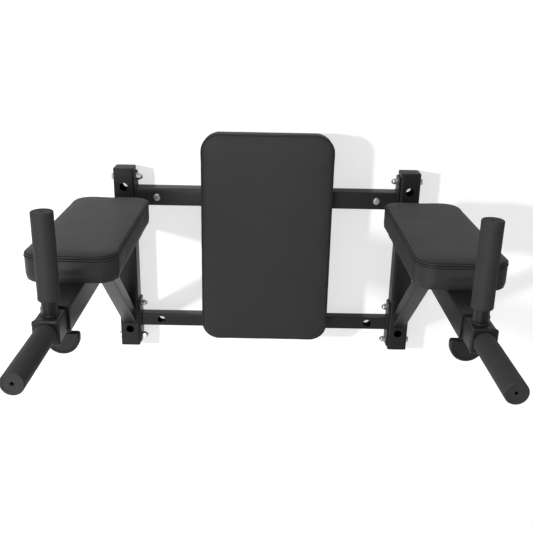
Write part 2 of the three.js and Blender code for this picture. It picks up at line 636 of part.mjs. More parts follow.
// The two uprights with their arms, braces, handles and clamps
function buildSide(name, side) {
  const centreX = (side * UPRIGHT_SPACING) / 2;

  const wallPart = new THREE.Group();
  wallPart.position.set(centreX, -UPRIGHT_SECTION / 2, 0);
  add(wallPart, `${name}_upright`, upright(), blackSteel);
  const bottomCap = uprightCap().rotateX(Math.PI);
  const bottomZ = LOWER_BAR_Z - UPRIGHT_BELOW_LOWER_BAR;
  add(wallPart, `${name}_upright_top_cap`, uprightCap(), blackPlastic, [0, 0, UPRIGHT_ABOVE_UPPER_BAR]);
  add(wallPart, `${name}_upright_bottom_cap`, bottomCap, blackPlastic, [0, 0, bottomZ]);
  CROSS_BOLT_HEIGHTS.forEach((z, i) => {
    add(wallPart, `${name}_cross_bolt_${i + 1}`, crossBolt(side), zinc, [0, 0, z]);
  });
  station.add(wallPart);

  const plateX = side * ((UPRIGHT_SPACING - UPRIGHT_SECTION - PLATE_THICKNESS) / 2);
  add(station, `${name}_upper_end_plate`, endPlate(), blackSteel, [plateX, -PLATE_DEPTH / 2, 0]);
  add(station, `${name}_lower_end_plate`, endPlate(), blackSteel, [plateX, -PLATE_DEPTH / 2, LOWER_BAR_Z]);

  const arm = new THREE.Group();
  arm.position.x = centreX;
  add(arm, `${name}_arm_tube`, armTube(), blackSteel, [0, UPRIGHT_FRONT_Y, ARM_Z]);
  add(arm, `${name}_brace`, brace(), blackSteel);
  add(arm, `${name}_arm_collar`, collar(), blackPlastic, [0, ARM_MOUTH_Y, ARM_Z]);
  add(arm, `${name}_clamp_nut`, clampNut(), blackSteel, [0, CLAMP_Y, ARM_UNDERSIDE_Z - CLAMP_NUT_HEIGHT]);
  add(arm, `${name}_clamp_knob`, clampKnob(), blackPlastic, [0, CLAMP_Y, KNOB_TOP_Z]);
  add(arm, `${name}_clamp_stud`, clampStud(), zinc, [0, CLAMP_Y, KNOB_TOP_Z]);
  station.add(arm);

  const handles = new THREE.Group();
  handles.position.set(centreX, INSERT_FRONT_Y, ARM_Z);
  const uprightBase = [0, HANDLE_SETBACK, INSERT_SECTION / 2];
  const gripBase = [0, HANDLE_SETBACK, INSERT_SECTION / 2 + UPRIGHT_HANDLE_BARE];
  const forwardTube = handleTube(FORWARD_HANDLE_LENGTH).rotateX(Math.PI / 2);
  const forwardGrip = foamGrip(FORWARD_HANDLE_LENGTH - FORWARD_HANDLE_BARE).rotateX(Math.PI / 2);
  const uprightGrip = foamGrip(UPRIGHT_HANDLE_HEIGHT - UPRIGHT_HANDLE_BARE);
  add(handles, `${name}_handle_insert`, handleInsert(), blackSteel);
  add(handles, `${name}_upright_handle`, handleTube(UPRIGHT_HANDLE_HEIGHT), blackSteel, uprightBase);
  add(handles, `${name}_forward_handle`, forwardTube, blackSteel);
  add(handles, `${name}_upright_grip`, uprightGrip, foamRubber, gripBase);
  add(handles, `${name}_forward_grip`, forwardGrip, foamRubber, [0, -FORWARD_HANDLE_BARE, 0]);
  station.add(handles);

  buildArmPad(name, side, centreX);
}

function buildArmPad(name, side, armX) {
  const offset = side * ARM_PAD_OUTSET;
  const pad = {
    width: ARM_PAD_WIDTH,
    length: ARM_PAD_LENGTH,
    thickness: ARM_PAD_THICKNESS,
    crown: ARM_PAD_CROWN,
    cornerRadius: ARM_PAD_CORNER_RADIUS,
    bolts: ["front", "back"].map((end, i) => ({
      name: `${name}_arm_pad_${end}_bolt`,
      x: -offset,
      y: (i - 1 / 2) * ARM_PAD_BOLT_SPACING,
      seat: ARM_SECTION,
    })),
  };
  const group = new THREE.Group();
  group.position.set(armX + offset, ARM_PAD_CENTRE_Y, ARM_TOP_Z);
  add(group, `${name}_arm_pad`, cushion(pad), blackVinyl, [0, 0, FIT_GAP]);
  add(group, `${name}_arm_pad_board`, board(pad), plywood);
  addPadBolts(group, pad);
  station.add(group);
}

// The backrest faces forward: its width stays along X, its length stands up along Z
function buildBackrest() {
  const bars = [
    { bar: "upper", y: -BACKREST_CENTRE_Z, seat: BAR_WALL + FIT_GAP },
    { bar: "lower", y: LOWER_BAR_Z - BACKREST_CENTRE_Z, seat: SPACER_LENGTH + BAR_WALL + FIT_GAP },
  ];
  const ends = [["left", -1], ["right", 1]];
  const pad = {
    width: BACKREST_WIDTH,
    length: BACKREST_HEIGHT,
    thickness: BACKREST_THICKNESS,
    crown: BACKREST_CROWN,
    cornerRadius: BACKREST_CORNER_RADIUS,
    bolts: bars.flatMap(({ bar, y, seat }) =>
      ends.map(([end, side]) => ({
        name: `backrest_${bar}_${end}_bolt`,
        x: (side * BACKREST_BOLT_SPACING) / 2,
        y,
        seat,
      })),
    ),
  };
  const group = new THREE.Group();
  group.position.set(0, -UPPER_BAR_SECTION - FIT_GAP, BACKREST_CENTRE_Z);
  group.rotation.x = Math.PI / 2;
  add(group, "backrest_pad", cushion(pad), blackVinyl, [0, 0, FIT_GAP]);
  add(group, "backrest_board", board(pad), plywood);
  addPadBolts(group, pad);
  station.add(group);
}

function buildCrossbars() {
  add(station, "upper_crossbar", crossbar(UPPER_BAR_SECTION, WALL_BOLT_HOLE_DIAMETER), blackSteel);
  add(station, "lower_crossbar", lowerCrossbar(), blackSteel, [0, 0, LOWER_BAR_Z]);
  const shank = UPPER_BAR_SECTION + FIT_GAP;
  for (const [name, side] of [["left", -1], ["right", 1]]) {
    const place = [(side * BAR_HOLE_SPACING) / 2, -shank, 0];
    add(station, `${name}_wall_bolt`, buttonBolt(shank).rotateX(-Math.PI / 2), zinc, place);
  }
}

buildSide("left", -1);
buildSide("right", 1);
buildCrossbars();
buildBackrest();

export default station;
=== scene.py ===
# The looks of a wall-mounted dip station, in metres: X runs along the wall, +Y into it and +Z up.
# Each section makes one piece, or one group of like pieces, in the order in which a fitter puts it up.
import math

import bmesh
import bpy
from mathutils import Matrix, Vector, noise
from mathutils.bvhtree import BVHTree


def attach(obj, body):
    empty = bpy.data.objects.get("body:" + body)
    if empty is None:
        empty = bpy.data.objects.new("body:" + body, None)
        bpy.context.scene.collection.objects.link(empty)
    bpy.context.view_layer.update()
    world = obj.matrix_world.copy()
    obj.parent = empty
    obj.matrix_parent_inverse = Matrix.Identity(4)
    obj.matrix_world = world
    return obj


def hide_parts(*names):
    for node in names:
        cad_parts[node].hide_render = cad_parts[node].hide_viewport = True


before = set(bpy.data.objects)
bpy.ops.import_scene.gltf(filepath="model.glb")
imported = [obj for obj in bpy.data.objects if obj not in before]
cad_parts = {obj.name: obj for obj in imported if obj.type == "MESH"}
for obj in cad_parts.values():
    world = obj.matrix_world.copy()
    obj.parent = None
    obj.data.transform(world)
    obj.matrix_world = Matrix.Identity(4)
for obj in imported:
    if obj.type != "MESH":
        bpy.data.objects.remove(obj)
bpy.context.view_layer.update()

# Uprights
# Two 45 mm square steel tubes with 2 mm walls, cut to 433 mm and drilled for two wall bolts and four
# cross bolts each. They are powder-coated black, with the fine orange peel that such a coat has.
SIDES = (("left", -1), ("right", 1))
UPRIGHT_X = 0.326
UPRIGHT_SECTION = 0.045
UPRIGHT_WALL = 0.002
UPRIGHT_RADIUS = 0.004
UPRIGHT_TOP = 0.063
LOWER_BAR_Z = -0.311
UPRIGHT_BOTTOM = LOWER_BAR_Z - 0.059
WALL_HOLES = (0.023, LOWER_BAR_Z - 0.019)
WALL_HOLE_DIAMETER = 0.019
CROSS_BOLT_RISE = 0.043
CROSS_BOLT_RISES = (CROSS_BOLT_RISE, -CROSS_BOLT_RISE)
CROSS_BOLT_HEIGHTS = tuple(z + rise for z in (0, LOWER_BAR_Z) for rise in CROSS_BOLT_RISES)
CLEARANCE_HOLE = 0.009
CUT_OVERRUN = 0.002
HOLE_SIDES = 48
CORNER_STEPS = 6
SHARPEST_BORE = 0.0004


class Shade:
    """A value on its way to the surface shader; + and * add the Math nodes that they stand for."""

    def __init__(self, finish, socket):
        self.finish = finish
        self.socket = socket

    def reckon(self, operation, other):
        return self.finish.node("ShaderNodeMath", {"operation": operation}, {0: self, 1: other})

    def __add__(self, other):
        return self.reckon("ADD", other)

    def __mul__(self, other):
        return self.reckon("MULTIPLY", other)


class Finish:
    """A material with a principled surface, its slot, and one way to add any other node to it."""

    def __init__(self, name, slot=None):
        self.slot = slot
        self.material = bpy.data.materials.new(name)
        self.material.use_nodes = True
        self.tree = self.material.node_tree
        self.surface = self.tree.nodes["Principled BSDF"]

    def node(self, kind, settings=None, sockets=None, output=0):
        made = self.tree.nodes.new(kind)
        for key, value in (settings or {}).items():
            if key == "stops":
                for stop, (place, tone) in zip(self.stops(made, len(value)), value):
                    stop.position = place
                    stop.color = (tone, tone, tone, 1)
            else:
                setattr(made, key, value)
        for key, value in (sockets or {}).items():
            self.feed(made.inputs[key], value)
        return Shade(self, made.outputs[output])

    def stops(self, ramp, count):
        while len(ramp.color_ramp.elements) < count:
            ramp.color_ramp.elements.new(0.5)
        return ramp.color_ramp.elements

    def feed(self, socket, value):
        if isinstance(value, Shade):
            self.tree.links.new(value.socket, socket)
        else:
            socket.default_value = value

    def coat(self, **sockets):
        for key, value in sockets.items():
            self.feed(self.surface.inputs[key.replace("_", " ")], value)

    def place(self):
        return self.node("ShaderNodeTexCoord", output="Object")

    def noise(self, place, scale, detail=2, roughness=0.5):
        sockets = {"Vector": place, "Scale": scale, "Detail": detail, "Roughness": roughness}
        return self.node("ShaderNodeTexNoise", {}, sockets)

    def between(self, factor, first, second):
        """A colour that runs from the first to the second."""
        sockets = {0: factor, 6: (*first, 1), 7: (*second, 1)}
        return self.node("ShaderNodeMix", {"data_type": "RGBA"}, sockets, output=2)

    def ramp(self, value, *stops):
        return self.node("ShaderNodeValToRGB", {"stops": stops}, {0: value})

    def bump(self, height, distance, strength=1.0, under=None):
        sockets = {"Height": height, "Distance": distance, "Strength": strength}
        if under is not None:
            sockets["Normal"] = under
        return self.node("ShaderNodeBump", {}, sockets)


def powder_coat():
    finish = Finish("black_powder_coat", "black_powder_coat")
    place = finish.place()
    peel = finish.noise(place, 420, 2)
    speck = finish.noise(place, 2600, 1)
    cloud = finish.noise(place, 9, 3)
    finish.coat(
        Base_Color=finish.between(cloud, (0.0095, 0.0095, 0.0101), (0.0150, 0.0150, 0.0157)),
        Roughness=cloud * 0.1 + speck * 0.1 + 0.26,
        Specular_IOR_Level=0.28,
        Normal=finish.bump(peel + speck * 0.4, 0.00012, 0.55),
    )
    return finish


def rounded_outline(width, height, radius, steps=CORNER_STEPS):
    """Points of a rounded rectangle about the origin, counter-clockwise from the right side."""
    x = width / 2 - radius
    y = height / 2 - radius
    points = []
    for quarter, (cx, cy) in enumerate(((x, y), (-x, y), (-x, -y), (x, -y))):
        for step in range(steps + 1):
            angle = (quarter + step / steps) * math.pi / 2
            points.append((cx + radius * math.cos(angle), cy + radius * math.sin(angle)))
    return points


def skin(rings, closed=False):
    """A mesh over rings of equally many points, capped at its ends unless the last ring joins the first."""
    mesh = bmesh.new()
    rows = [[mesh.verts.new(point) for point in ring] for ring in rings]
    pairs = list(zip(rows, rows[1:]))
    if closed:
        pairs.append((rows[-1], rows[0]))
    for low, high in pairs:
        for i in range(len(low)):
            j = (i + 1) % len(low)
            mesh.faces.new((low[i], low[j], high[j], high[i]))
    if not closed:
        mesh.faces.new(rows[0][::-1])
        mesh.faces.new(rows[-1])
    return mesh


def prism(outline, length):
    return skin([[(x, y, z) for x, y in outline] for z in (0, length)])


def square_rings(steps):
    """Rounded squares, each from its size, its corner radius and its height."""
    return [[(x, y, z) for x, y in rounded_outline(size, size, corner)] for size, corner, z in steps]


def square_tube(section, wall, radius, length):
    """An open tube along +Z from z = 0, with a hair of rounding where its ends are cut."""
    bore = section - 2 * wall
    bore_radius = max(radius - wall, SHARPEST_BORE)
    edge = 0.0003
    steps = (
        (section, radius, edge),
        (section, radius, length - edge),
        (section - 2 * edge, radius - edge, length),
        (bore, bore_radius, length),
        (bore, bore_radius, 0),
        (section - 2 * edge, radius - edge, 0),
    )
    return skin(square_rings(steps), closed=True)


def turned(profile, sides):
    """A mesh turned about Z from (radius, height) points; a point on the axis closes its end."""
    mesh = bmesh.new()
    rows = []
    for radius, height in profile:
        if radius == 0:
            rows.append([mesh.verts.new((0, 0, height))])
            continue
        angles = [2 * math.pi * i / sides for i in range(sides)]
        rows.append([mesh.verts.new((radius * math.cos(a), radius * math.sin(a), height)) for a in angles])
    for low, high in zip(rows, rows[1:]):
        for i in range(sides):
            j = (i + 1) % sides
            corners = [low[i % len(low)], low[j % len(low)], high[j % len(high)], high[i % len(high)]]
            mesh.faces.new(list(dict.fromkeys(corners)))
    return mesh


def rod(diameter, length, sides=HOLE_SIDES):
    """A solid round bar up +Z from z = 0."""
    radius = diameter / 2
    return turned(((0, 0), (radius, 0), (radius, length), (0, length)), sides)


def moved(mesh, *steps):
    """The mesh after each matrix or shift in turn."""
    for step in steps:
        matrix = step if isinstance(step, Matrix) else Matrix.Translation(step)
        bmesh.ops.transform(mesh, matrix=matrix, verts=mesh.verts)
    return mesh


def turn(degrees, axis):
    return Matrix.Rotation(math.radians(degrees), 4, axis)


def gathered(*meshes):
    """Several meshes as one; each stays a body of its own."""
    whole = bmesh.new()
    for mesh in meshes:
        data = bpy.data.meshes.new("part")
        mesh.to_mesh(data)
        mesh.free()
        whole.from_mesh(data)
        bpy.data.meshes.remove(data)
    return whole


def loose_object(mesh, name="tool"):
    bmesh.ops.recalc_face_normals(mesh, faces=mesh.faces)
    data = bpy.data.meshes.new(name)
    mesh.to_mesh(data)
    mesh.free()
    made = bpy.data.objects.new(name, data)
    bpy.context.scene.collection.objects.link(made)
    return made


def worked(mesh, *tools, operation="DIFFERENCE"):
    """The mesh after each tool in turn has been taken from it, or joined or intersected with it."""
    blank = loose_object(mesh, "blank")
    cutters = [loose_object(tool) for tool in tools]
    for cutter in cutters:
        step = blank.modifiers.new("cut", "BOOLEAN")
        step.operation = operation
        step.solver = "EXACT"
        step.object = cutter
    graph = bpy.context.evaluated_depsgraph_get()
    result = bmesh.new()
    result.from_object(blank, graph)
    for tool in [blank, *cutters]:
        data = tool.data
        bpy.data.objects.remove(tool)
        bpy.data.meshes.remove(data)
    return result


def hole(diameter, axis, length, place):
    """A round cutter along an axis, with its middle at the place."""
    reach = length + 2 * CUT_OVERRUN
    tool = moved(rod(diameter, reach), (0, 0, -reach / 2))
    tilt = {"X": turn(90, "Y"), "Y": turn(90, "X"), "Z": Matrix.Identity(4)}[axis]
    return moved(tool, tilt, place)


def fit(name, mesh, body, finish, *nodes, crease=32):
    """Makes the piece, smooth but for its real edges, and fixes it to its body in place of CAD nodes."""
    bmesh.ops.recalc_face_normals(mesh, faces=mesh.faces)
    for face in mesh.faces:
        face.smooth = True
    for edge in mesh.edges:
        edge.smooth = edge.is_manifold and edge.calc_face_angle(0) < math.radians(crease)
    data = bpy.data.meshes.new(name)
    mesh.to_mesh(data)
    mesh.free()
    data.materials.append(finish.material)
    piece = bpy.data.objects.new(name, data)
    bpy.context.scene.collection.objects.link(piece)
    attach(piece, body)
    if nodes:
        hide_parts(*nodes)
    return piece


coat = powder_coat()
for name, side in SIDES:
    tube = square_tube(UPRIGHT_SECTION, UPRIGHT_WALL, UPRIGHT_RADIUS, UPRIGHT_TOP - UPRIGHT_BOTTOM)
    moved(tube, (0, 0, UPRIGHT_BOTTOM))
    holes = [hole(WALL_HOLE_DIAMETER, "Y", UPRIGHT_SECTION, (0, 0, z)) for z in WALL_HOLES]
    holes += [hole(CLEARANCE_HOLE, "X", UPRIGHT_SECTION, (0, 0, z)) for z in CROSS_BOLT_HEIGHTS]
    tube = moved(worked(tube, *holes), (side * UPRIGHT_X, -UPRIGHT_SECTION / 2, 0))
    fit(f"{name}_upright_tube", tube, "wall_frame", coat, f"{name}_upright")

# Upright caps
# Moulded black plugs with a rounded flange, pressed into both ends of each upright. Their plugs are
# hidden, so only the flange and a stub of the plug are made.
CAP_THICKNESS = 0.003
CAP_ROUNDING = 0.0016
CAP_STUB = 0.008
SEAT_LIFT = 0.0001


def moulded_plastic():
    finish = Finish("moulded_black_plastic", "black_plastic")
    place = finish.place()
    spark = finish.noise(place, 1500, 2)
    cloud = finish.noise(place, 25, 2)
    finish.coat(
        Base_Color=finish.between(cloud, (0.008, 0.008, 0.0084), (0.013, 0.013, 0.0136)),
        Roughness=spark * 0.12 + cloud * 0.08 + 0.38,
        Specular_IOR_Level=0.3,
        Normal=finish.bump(spark, 0.00015, 0.5),
    )
    return finish


def quarter_round(radius, steps=CORNER_STEPS):
    """How far in and how far down each point of a rounded edge lies, from its side to its top."""
    angles = [step / steps * math.pi / 2 for step in range(steps + 1)]
    return [(radius * (1 - math.cos(angle)), radius * (1 - math.sin(angle))) for angle in angles]


def cap_flange():
    """A cap with its seat at z = 0 and its flange up +Z."""
    slack = 0.0006
    plug = UPRIGHT_SECTION - 2 * UPRIGHT_WALL - slack
    corner = UPRIGHT_RADIUS - UPRIGHT_WALL
    steps = [(plug, corner, -CAP_STUB), (plug, corner, SEAT_LIFT)]
    steps.append((UPRIGHT_SECTION, UPRIGHT_RADIUS, SEAT_LIFT))
    for inset, drop in quarter_round(CAP_ROUNDING, 5):
        steps.append((UPRIGHT_SECTION - 2 * inset, UPRIGHT_RADIUS - inset, CAP_THICKNESS - drop))
    return skin(square_rings(steps))


plastic = moulded_plastic()
for name, side in SIDES:
    place = (side * UPRIGHT_X, -UPRIGHT_SECTION / 2)
    top = moved(cap_flange(), (*place, UPRIGHT_TOP))
    bottom = moved(cap_flange(), turn(180, "X"), (*place, UPRIGHT_BOTTOM))
    fit(f"{name}_top_plug", top, "wall_frame", plastic, f"{name}_upright_top_cap")
    fit(f"{name}_bottom_plug", bottom, "wall_frame", plastic, f"{name}_upright_bottom_cap")

# Crossbars
# A 40 mm and a 30 mm square tube with their backs against the wall. The upper one takes two wall bolts,
# the lower one has two open 19.5 mm holes, and both hold the backrest's bolts from inside.
BAR_LENGTH = 0.599
UPPER_BAR = 0.040
LOWER_BAR = 0.030
BAR_WALL = 0.0015
BAR_RADIUS = 0.003
BAR_HOLE_X = 0.251
WALL_BOLT_HOLE = 0.011
OPEN_HOLE = 0.0195
ACCESS_HOLE = 0.018
BACKREST_BOLT_X = 0.080
SPACER_DIAMETER = 0.022
SPACER_SINK = 0.0002
MERGE_DISTANCE = 0.000001


def crossbar(section, wall_hole):
    bar = square_tube(section, BAR_WALL, BAR_RADIUS, BAR_LENGTH)
    moved(bar, (0, 0, -BAR_LENGTH / 2), turn(90, "Y"), (0, -section / 2, 0))
    tools = []
    for side in (-1, 1):
        bolt_x = side * BACKREST_BOLT_X
        tools.append(hole(wall_hole, "Y", section, (side * BAR_HOLE_X, -section / 2, 0)))
        tools.append(hole(CLEARANCE_HOLE, "Y", section, (bolt_x, -section / 2, 0)))
        tools.append(hole(ACCESS_HOLE, "Y", BAR_WALL, (bolt_x, 0, 0)))
    return worked(bar, *tools)


def turned_ring(profile, sides=HOLE_SIDES):
    """A ring turned from a profile that ends where it starts."""
    ring = turned(profile, sides)
    bmesh.ops.remove_doubles(ring, verts=ring.verts, dist=MERGE_DISTANCE)
    return ring


def sleeve(inner, outer, length, sides=HOLE_SIDES):
    """A round tube up +Z from z = 0, from its two radii."""
    return turned_ring(((inner, 0), (outer, 0), (outer, length), (inner, length), (inner, 0)), sides)


upper_bar = crossbar(UPPER_BAR, WALL_BOLT_HOLE)
fit("upper_crossbar_tube", upper_bar, "wall_frame", coat, "upper_crossbar")
lower_bar = crossbar(LOWER_BAR, OPEN_HOLE)
spacers = []
for side in (-1, 1):
    spacer = sleeve(CLEARANCE_HOLE / 2, SPACER_DIAMETER / 2, UPPER_BAR - LOWER_BAR + SPACER_SINK)
    spacers.append(moved(spacer, turn(90, "X"), (side * BACKREST_BOLT_X, SPACER_SINK - LOWER_BAR, 0)))
lower_bar = moved(gathered(lower_bar, *spacers), (0, 0, LOWER_BAR_Z))
fit("lower_crossbar_tube", lower_bar, "wall_frame", coat, "lower_crossbar")

# End plates
# Plates 4 mm thick, flame-cut with small corner radii, welded across the ends of the crossbars and
# bolted through the uprights. Each has two holes for the cross bolts.
PLATE_THICKNESS = 0.004
PLATE_DEPTH = 0.040
PLATE_HEIGHT = 0.110
PLATE_RADIUS = 0.004
SHARPEST_RIM = 0.001
PLATE_X = UPRIGHT_X - UPRIGHT_SECTION / 2 - PLATE_THICKNESS / 2


def inset_rings(width, length, radius, steps):
    """One rounded rectangle over and over, each time from its inset and its height."""
    rings = []
    for inset, z in steps:
        corner = max(radius - inset, SHARPEST_RIM)
        outline = rounded_outline(width - 2 * inset, length - 2 * inset, corner)
        rings.append([(x, y, z) for x, y in outline])
    return rings


def bevelled_plate(width, length, radius, thickness, edge=0.0006):
    """A plate along +Z from z = 0, with a small bevel round both faces."""
    steps = ((edge, 0), (0, edge), (0, thickness - edge), (edge, thickness))
    return skin(inset_rings(width, length, radius, steps))


for name, side in SIDES:
    for level, z in (("upper", 0), ("lower", LOWER_BAR_Z)):
        plate = bevelled_plate(PLATE_HEIGHT, PLATE_DEPTH, PLATE_RADIUS, PLATE_THICKNESS)
        moved(plate, (0, 0, -PLATE_THICKNESS / 2), turn(90, "Y"), (side * PLATE_X, -PLATE_DEPTH / 2, z))
        tools = []
        for rise in CROSS_BOLT_RISES:
            middle = (side * PLATE_X, -UPRIGHT_SECTION / 2, z + rise)
            tools.append(hole(CLEARANCE_HOLE, "X", PLATE_THICKNESS, middle))
        plate_name = f"{name}_{level}_end_plate"
        fit(f"{plate_name}_steel", worked(plate, *tools), "wall_frame", coat, plate_name)

# Cross bolts
# M8 hex bolts, bright zinc-plated, that run through upright and end plate. Each has a chamfered head and
# a washer outside, and a washer and a domed cap nut inside.
BOLT_DIAMETER = 0.008
BOLT_SIDES = 24
HEAD_FLATS = 0.013
HEAD_HEIGHT = 0.0053
CHAMFER_START = 0.96
CHAMFER_ANGLE = 30
WASHER_DIAMETER = 0.017
WASHER_THICKNESS = 0.0016
WASHER_BORE = 0.0084
CAP_NUT_HEX = 0.0065
CAP_NUT_DOME = 0.0063
DOME_WIDTH = 0.94
DOME_SINK = 0.001
BOLT_END = 0.001
SEAT_GAP = 0.0003


def zinc_plate(name, low, high, roughness):
    finish = Finish(name, "zinc_plated")
    place = finish.place()
    brush = finish.noise(place, 700, 3)
    cloud = finish.noise(place, 160, 2)
    finish.coat(
        Base_Color=finish.between(cloud, low, high),
        Metallic=1.0,
        Roughness=brush * 0.16 + cloud * 0.12 + roughness,
        Normal=finish.bump(brush, 0.00004, 0.4),
    )
    return finish


def washer():
    edge = 0.0003
    top = WASHER_THICKNESS
    outer = WASHER_DIAMETER / 2
    inner = WASHER_BORE / 2
    profile = (
        (inner, 0), (outer - edge, 0), (outer, edge), (outer, top - edge),
        (outer - edge, top), (inner, top), (inner, 0),
    )
    return turned_ring(profile)


def hexagon(flats):
    """The corners of a hexagon of that width across its flats."""
    radius = flats / math.sqrt(3)
    return [(radius * math.cos(i * math.pi / 3), radius * math.sin(i * math.pi / 3)) for i in range(6)]


def chamfered_hexagon(flats, height, both_ends=False):
    """A hex body up +Z whose corners are turned off at its top, or at both ends."""
    corners = flats / math.sqrt(3)
    face = flats / 2 * CHAMFER_START
    drop = (corners - face) * math.tan(math.radians(CHAMFER_ANGLE))
    low = drop if both_ends else 0
    start = face if both_ends else corners
    clear = corners + 0.0001
    profile = ((0, 0), (start, 0), (clear, low), (clear, height - drop), (face, height), (0, height))
    return worked(prism(hexagon(flats), height), turned(profile, HOLE_SIDES), operation="INTERSECT")


def hex_head():
    """A bolt head down -Z from its bearing face at z = 0."""
    return moved(chamfered_hexagon(HEAD_FLATS, HEAD_HEIGHT), turn(180, "X"))


def cap_nut():
    """A nut up +Z whose dome has its foot inside the hexagon."""
    radius = HEAD_FLATS / 2 * DOME_WIDTH
    foot = CAP_NUT_HEX - DOME_SINK
    profile = [(0, foot), (radius, foot)]
    steps = 10
    for step in range(steps):
        angle = step / steps * math.pi / 2
        profile.append((radius * math.cos(angle), CAP_NUT_HEX + CAP_NUT_DOME * math.sin(angle)))
    profile.append((0, CAP_NUT_HEX + CAP_NUT_DOME))
    return gathered(chamfered_hexagon(HEAD_FLATS, CAP_NUT_HEX, True), turned(profile, HOLE_SIDES))


def cross_bolt():
    """A cross bolt along +Z with its head's bearing face at z = 0."""
    far_washer = WASHER_THICKNESS + UPRIGHT_SECTION + PLATE_THICKNESS + 2 * SEAT_GAP
    nut_seat = far_washer + WASHER_THICKNESS
    return gathered(
        hex_head(),
        washer(),
        rod(BOLT_DIAMETER, nut_seat + BOLT_END, BOLT_SIDES),
        moved(washer(), (0, 0, far_washer)),
        moved(cap_nut(), (0, 0, nut_seat)),
    )


zinc = zinc_plate("bright_zinc_plate", (0.45, 0.45, 0.46), (0.64, 0.64, 0.64), 0.17)
for name, side in SIDES:
    for number, z in enumerate(CROSS_BOLT_HEIGHTS, 1):
        tightened_to = 17 + 23 * number
        bolt = moved(cross_bolt(), turn(tightened_to, "Z"), turn(-90 * side, "Y"))
        reach = UPRIGHT_X + UPRIGHT_SECTION / 2 + SEAT_GAP + WASHER_THICKNESS
        moved(bolt, (side * reach, -UPRIGHT_SECTION / 2, z))
        node = f"{name}_cross_bolt_{number}"
        fit(f"{node}_with_nut", bolt, "wall_frame", zinc, node)

# Wall bolts
# M10 button-head bolts with a hex socket, through both walls of the upper crossbar. Their zinc is duller
# than the cross bolts' is.
WALL_BOLT_DIAMETER = 0.010
WALL_HEAD_DIAMETER = 0.0175
WALL_HEAD_HEIGHT = 0.0055
WALL_HEAD_RIM = 0.0008
WALL_HEAD_FLAT = 0.0051
SOCKET_FLATS = 0.006
SOCKET_DEPTH = 0.003


def button_bolt(shank):
    """A button-head bolt with its bearing face at z = 0, its shank up +Z."""
    radius = WALL_HEAD_DIAMETER / 2
    neck = WALL_BOLT_DIAMETER / 2
    edge = 0.0002
    dome = WALL_HEAD_HEIGHT - WALL_HEAD_RIM
    profile = [(0, -WALL_HEAD_HEIGHT), (WALL_HEAD_FLAT, -WALL_HEAD_HEIGHT)]
    steps = 8
    for step in range(1, steps + 1):
        angle = step / steps * math.pi / 2
        reach = WALL_HEAD_FLAT + (radius - WALL_HEAD_FLAT) * math.sin(angle)
        profile.append((reach, -WALL_HEAD_RIM - dome * math.cos(angle)))
    profile += [(radius, -edge), (radius - edge, 0), (neck, 0), (neck, shank), (0, shank)]
    socket = prism(hexagon(SOCKET_FLATS), SOCKET_DEPTH + CUT_OVERRUN)
    return worked(turned(profile, HOLE_SIDES), moved(socket, (0, 0, -WALL_HEAD_HEIGHT - CUT_OVERRUN)))


dull_zinc = zinc_plate("dull_zinc_plate", (0.38, 0.38, 0.385), (0.48, 0.48, 0.485), 0.33)
for name, side in SIDES:
    tightened_to = 11 * side
    bolt = moved(button_bolt(UPPER_BAR + SEAT_GAP), turn(tightened_to, "Z"), turn(-90, "X"))
    moved(bolt, (side * BAR_HOLE_X, -UPPER_BAR - SEAT_GAP, 0))
    fit(f"{name}_button_bolt", bolt, "wall_frame", dull_zinc, f"{name}_wall_bolt")

# Arms
# 45 mm square tubes with 1.5 mm walls, welded square to the uprights' fronts and open at the mouth.
# Each is drilled for the pad's two bolts and, under its mouth, for the clamp stud.
ARM_Z = -0.047
ARM_SECTION = 0.045
ARM_WALL = 0.0015
ARM_RADIUS = 0.004
ARM_LENGTH = 0.582
ARM_BACK = -UPRIGHT_SECTION
ARM_MOUTH = ARM_BACK - ARM_LENGTH
ARM_TOP = ARM_Z + ARM_SECTION / 2
ARM_UNDERSIDE = ARM_Z - ARM_SECTION / 2
CLAMP_Y = ARM_MOUTH + 0.030
PAD_BOLTS_Y = (-0.4695, -0.198)

for name, side in SIDES:
    x = side * UPRIGHT_X
    tube = square_tube(ARM_SECTION, ARM_WALL, ARM_RADIUS, ARM_BACK - ARM_MOUTH)
    moved(tube, turn(90, "X"), (x, ARM_BACK, ARM_Z))
    tools = [hole(CLEARANCE_HOLE, "Z", ARM_SECTION, (x, y, ARM_Z)) for y in PAD_BOLTS_Y]
    tools.append(hole(CLEARANCE_HOLE, "Z", 4 * ARM_WALL, (x, CLAMP_Y, ARM_UNDERSIDE)))
    arm_name = f"{name}_arm_tube"
    fit(f"{arm_name}_steel", worked(tube, *tools), "wall_frame", coat, arm_name)

# Braces
# 30 mm square tubes cut on the slant at both ends and welded between the foot of each upright and the
# underside of its arm.
BRACE_SECTION = 0.030
BRACE_FOOT = LOWER_BAR_Z - 0.004
BRACE_REACH = 0.279


def brace():
    """A tube on the slope, cut from a longer one where it meets the arm and the upright."""
    rise = ARM_UNDERSIDE - BRACE_FOOT
    slope = math.degrees(math.atan2(rise, BRACE_REACH))
    length = math.hypot(rise, BRACE_REACH) + 4 * BRACE_SECTION
    tube = square_tube(BRACE_SECTION, BAR_WALL, BAR_RADIUS, length)
    moved(tube, (0, BRACE_SECTION / 2, -2 * BRACE_SECTION), turn(90 - slope, "X"), (0, ARM_BACK, BRACE_FOOT))
    room_width, room_depth, below = 0.1, 0.6, 0.06
    room = prism(rounded_outline(room_width, room_depth, 0.01, 1), rise + below)
    moved(room, (0, ARM_BACK - SEAT_GAP - room_depth / 2, ARM_UNDERSIDE - SEAT_GAP - rise - below))
    return worked(tube, room, operation="INTERSECT")


for name, side in SIDES:
    sloped = moved(brace(), (side * UPRIGHT_X, 0, 0))
    fit(f"{name}_brace_tube", sloped, "wall_frame", coat, f"{name}_brace")

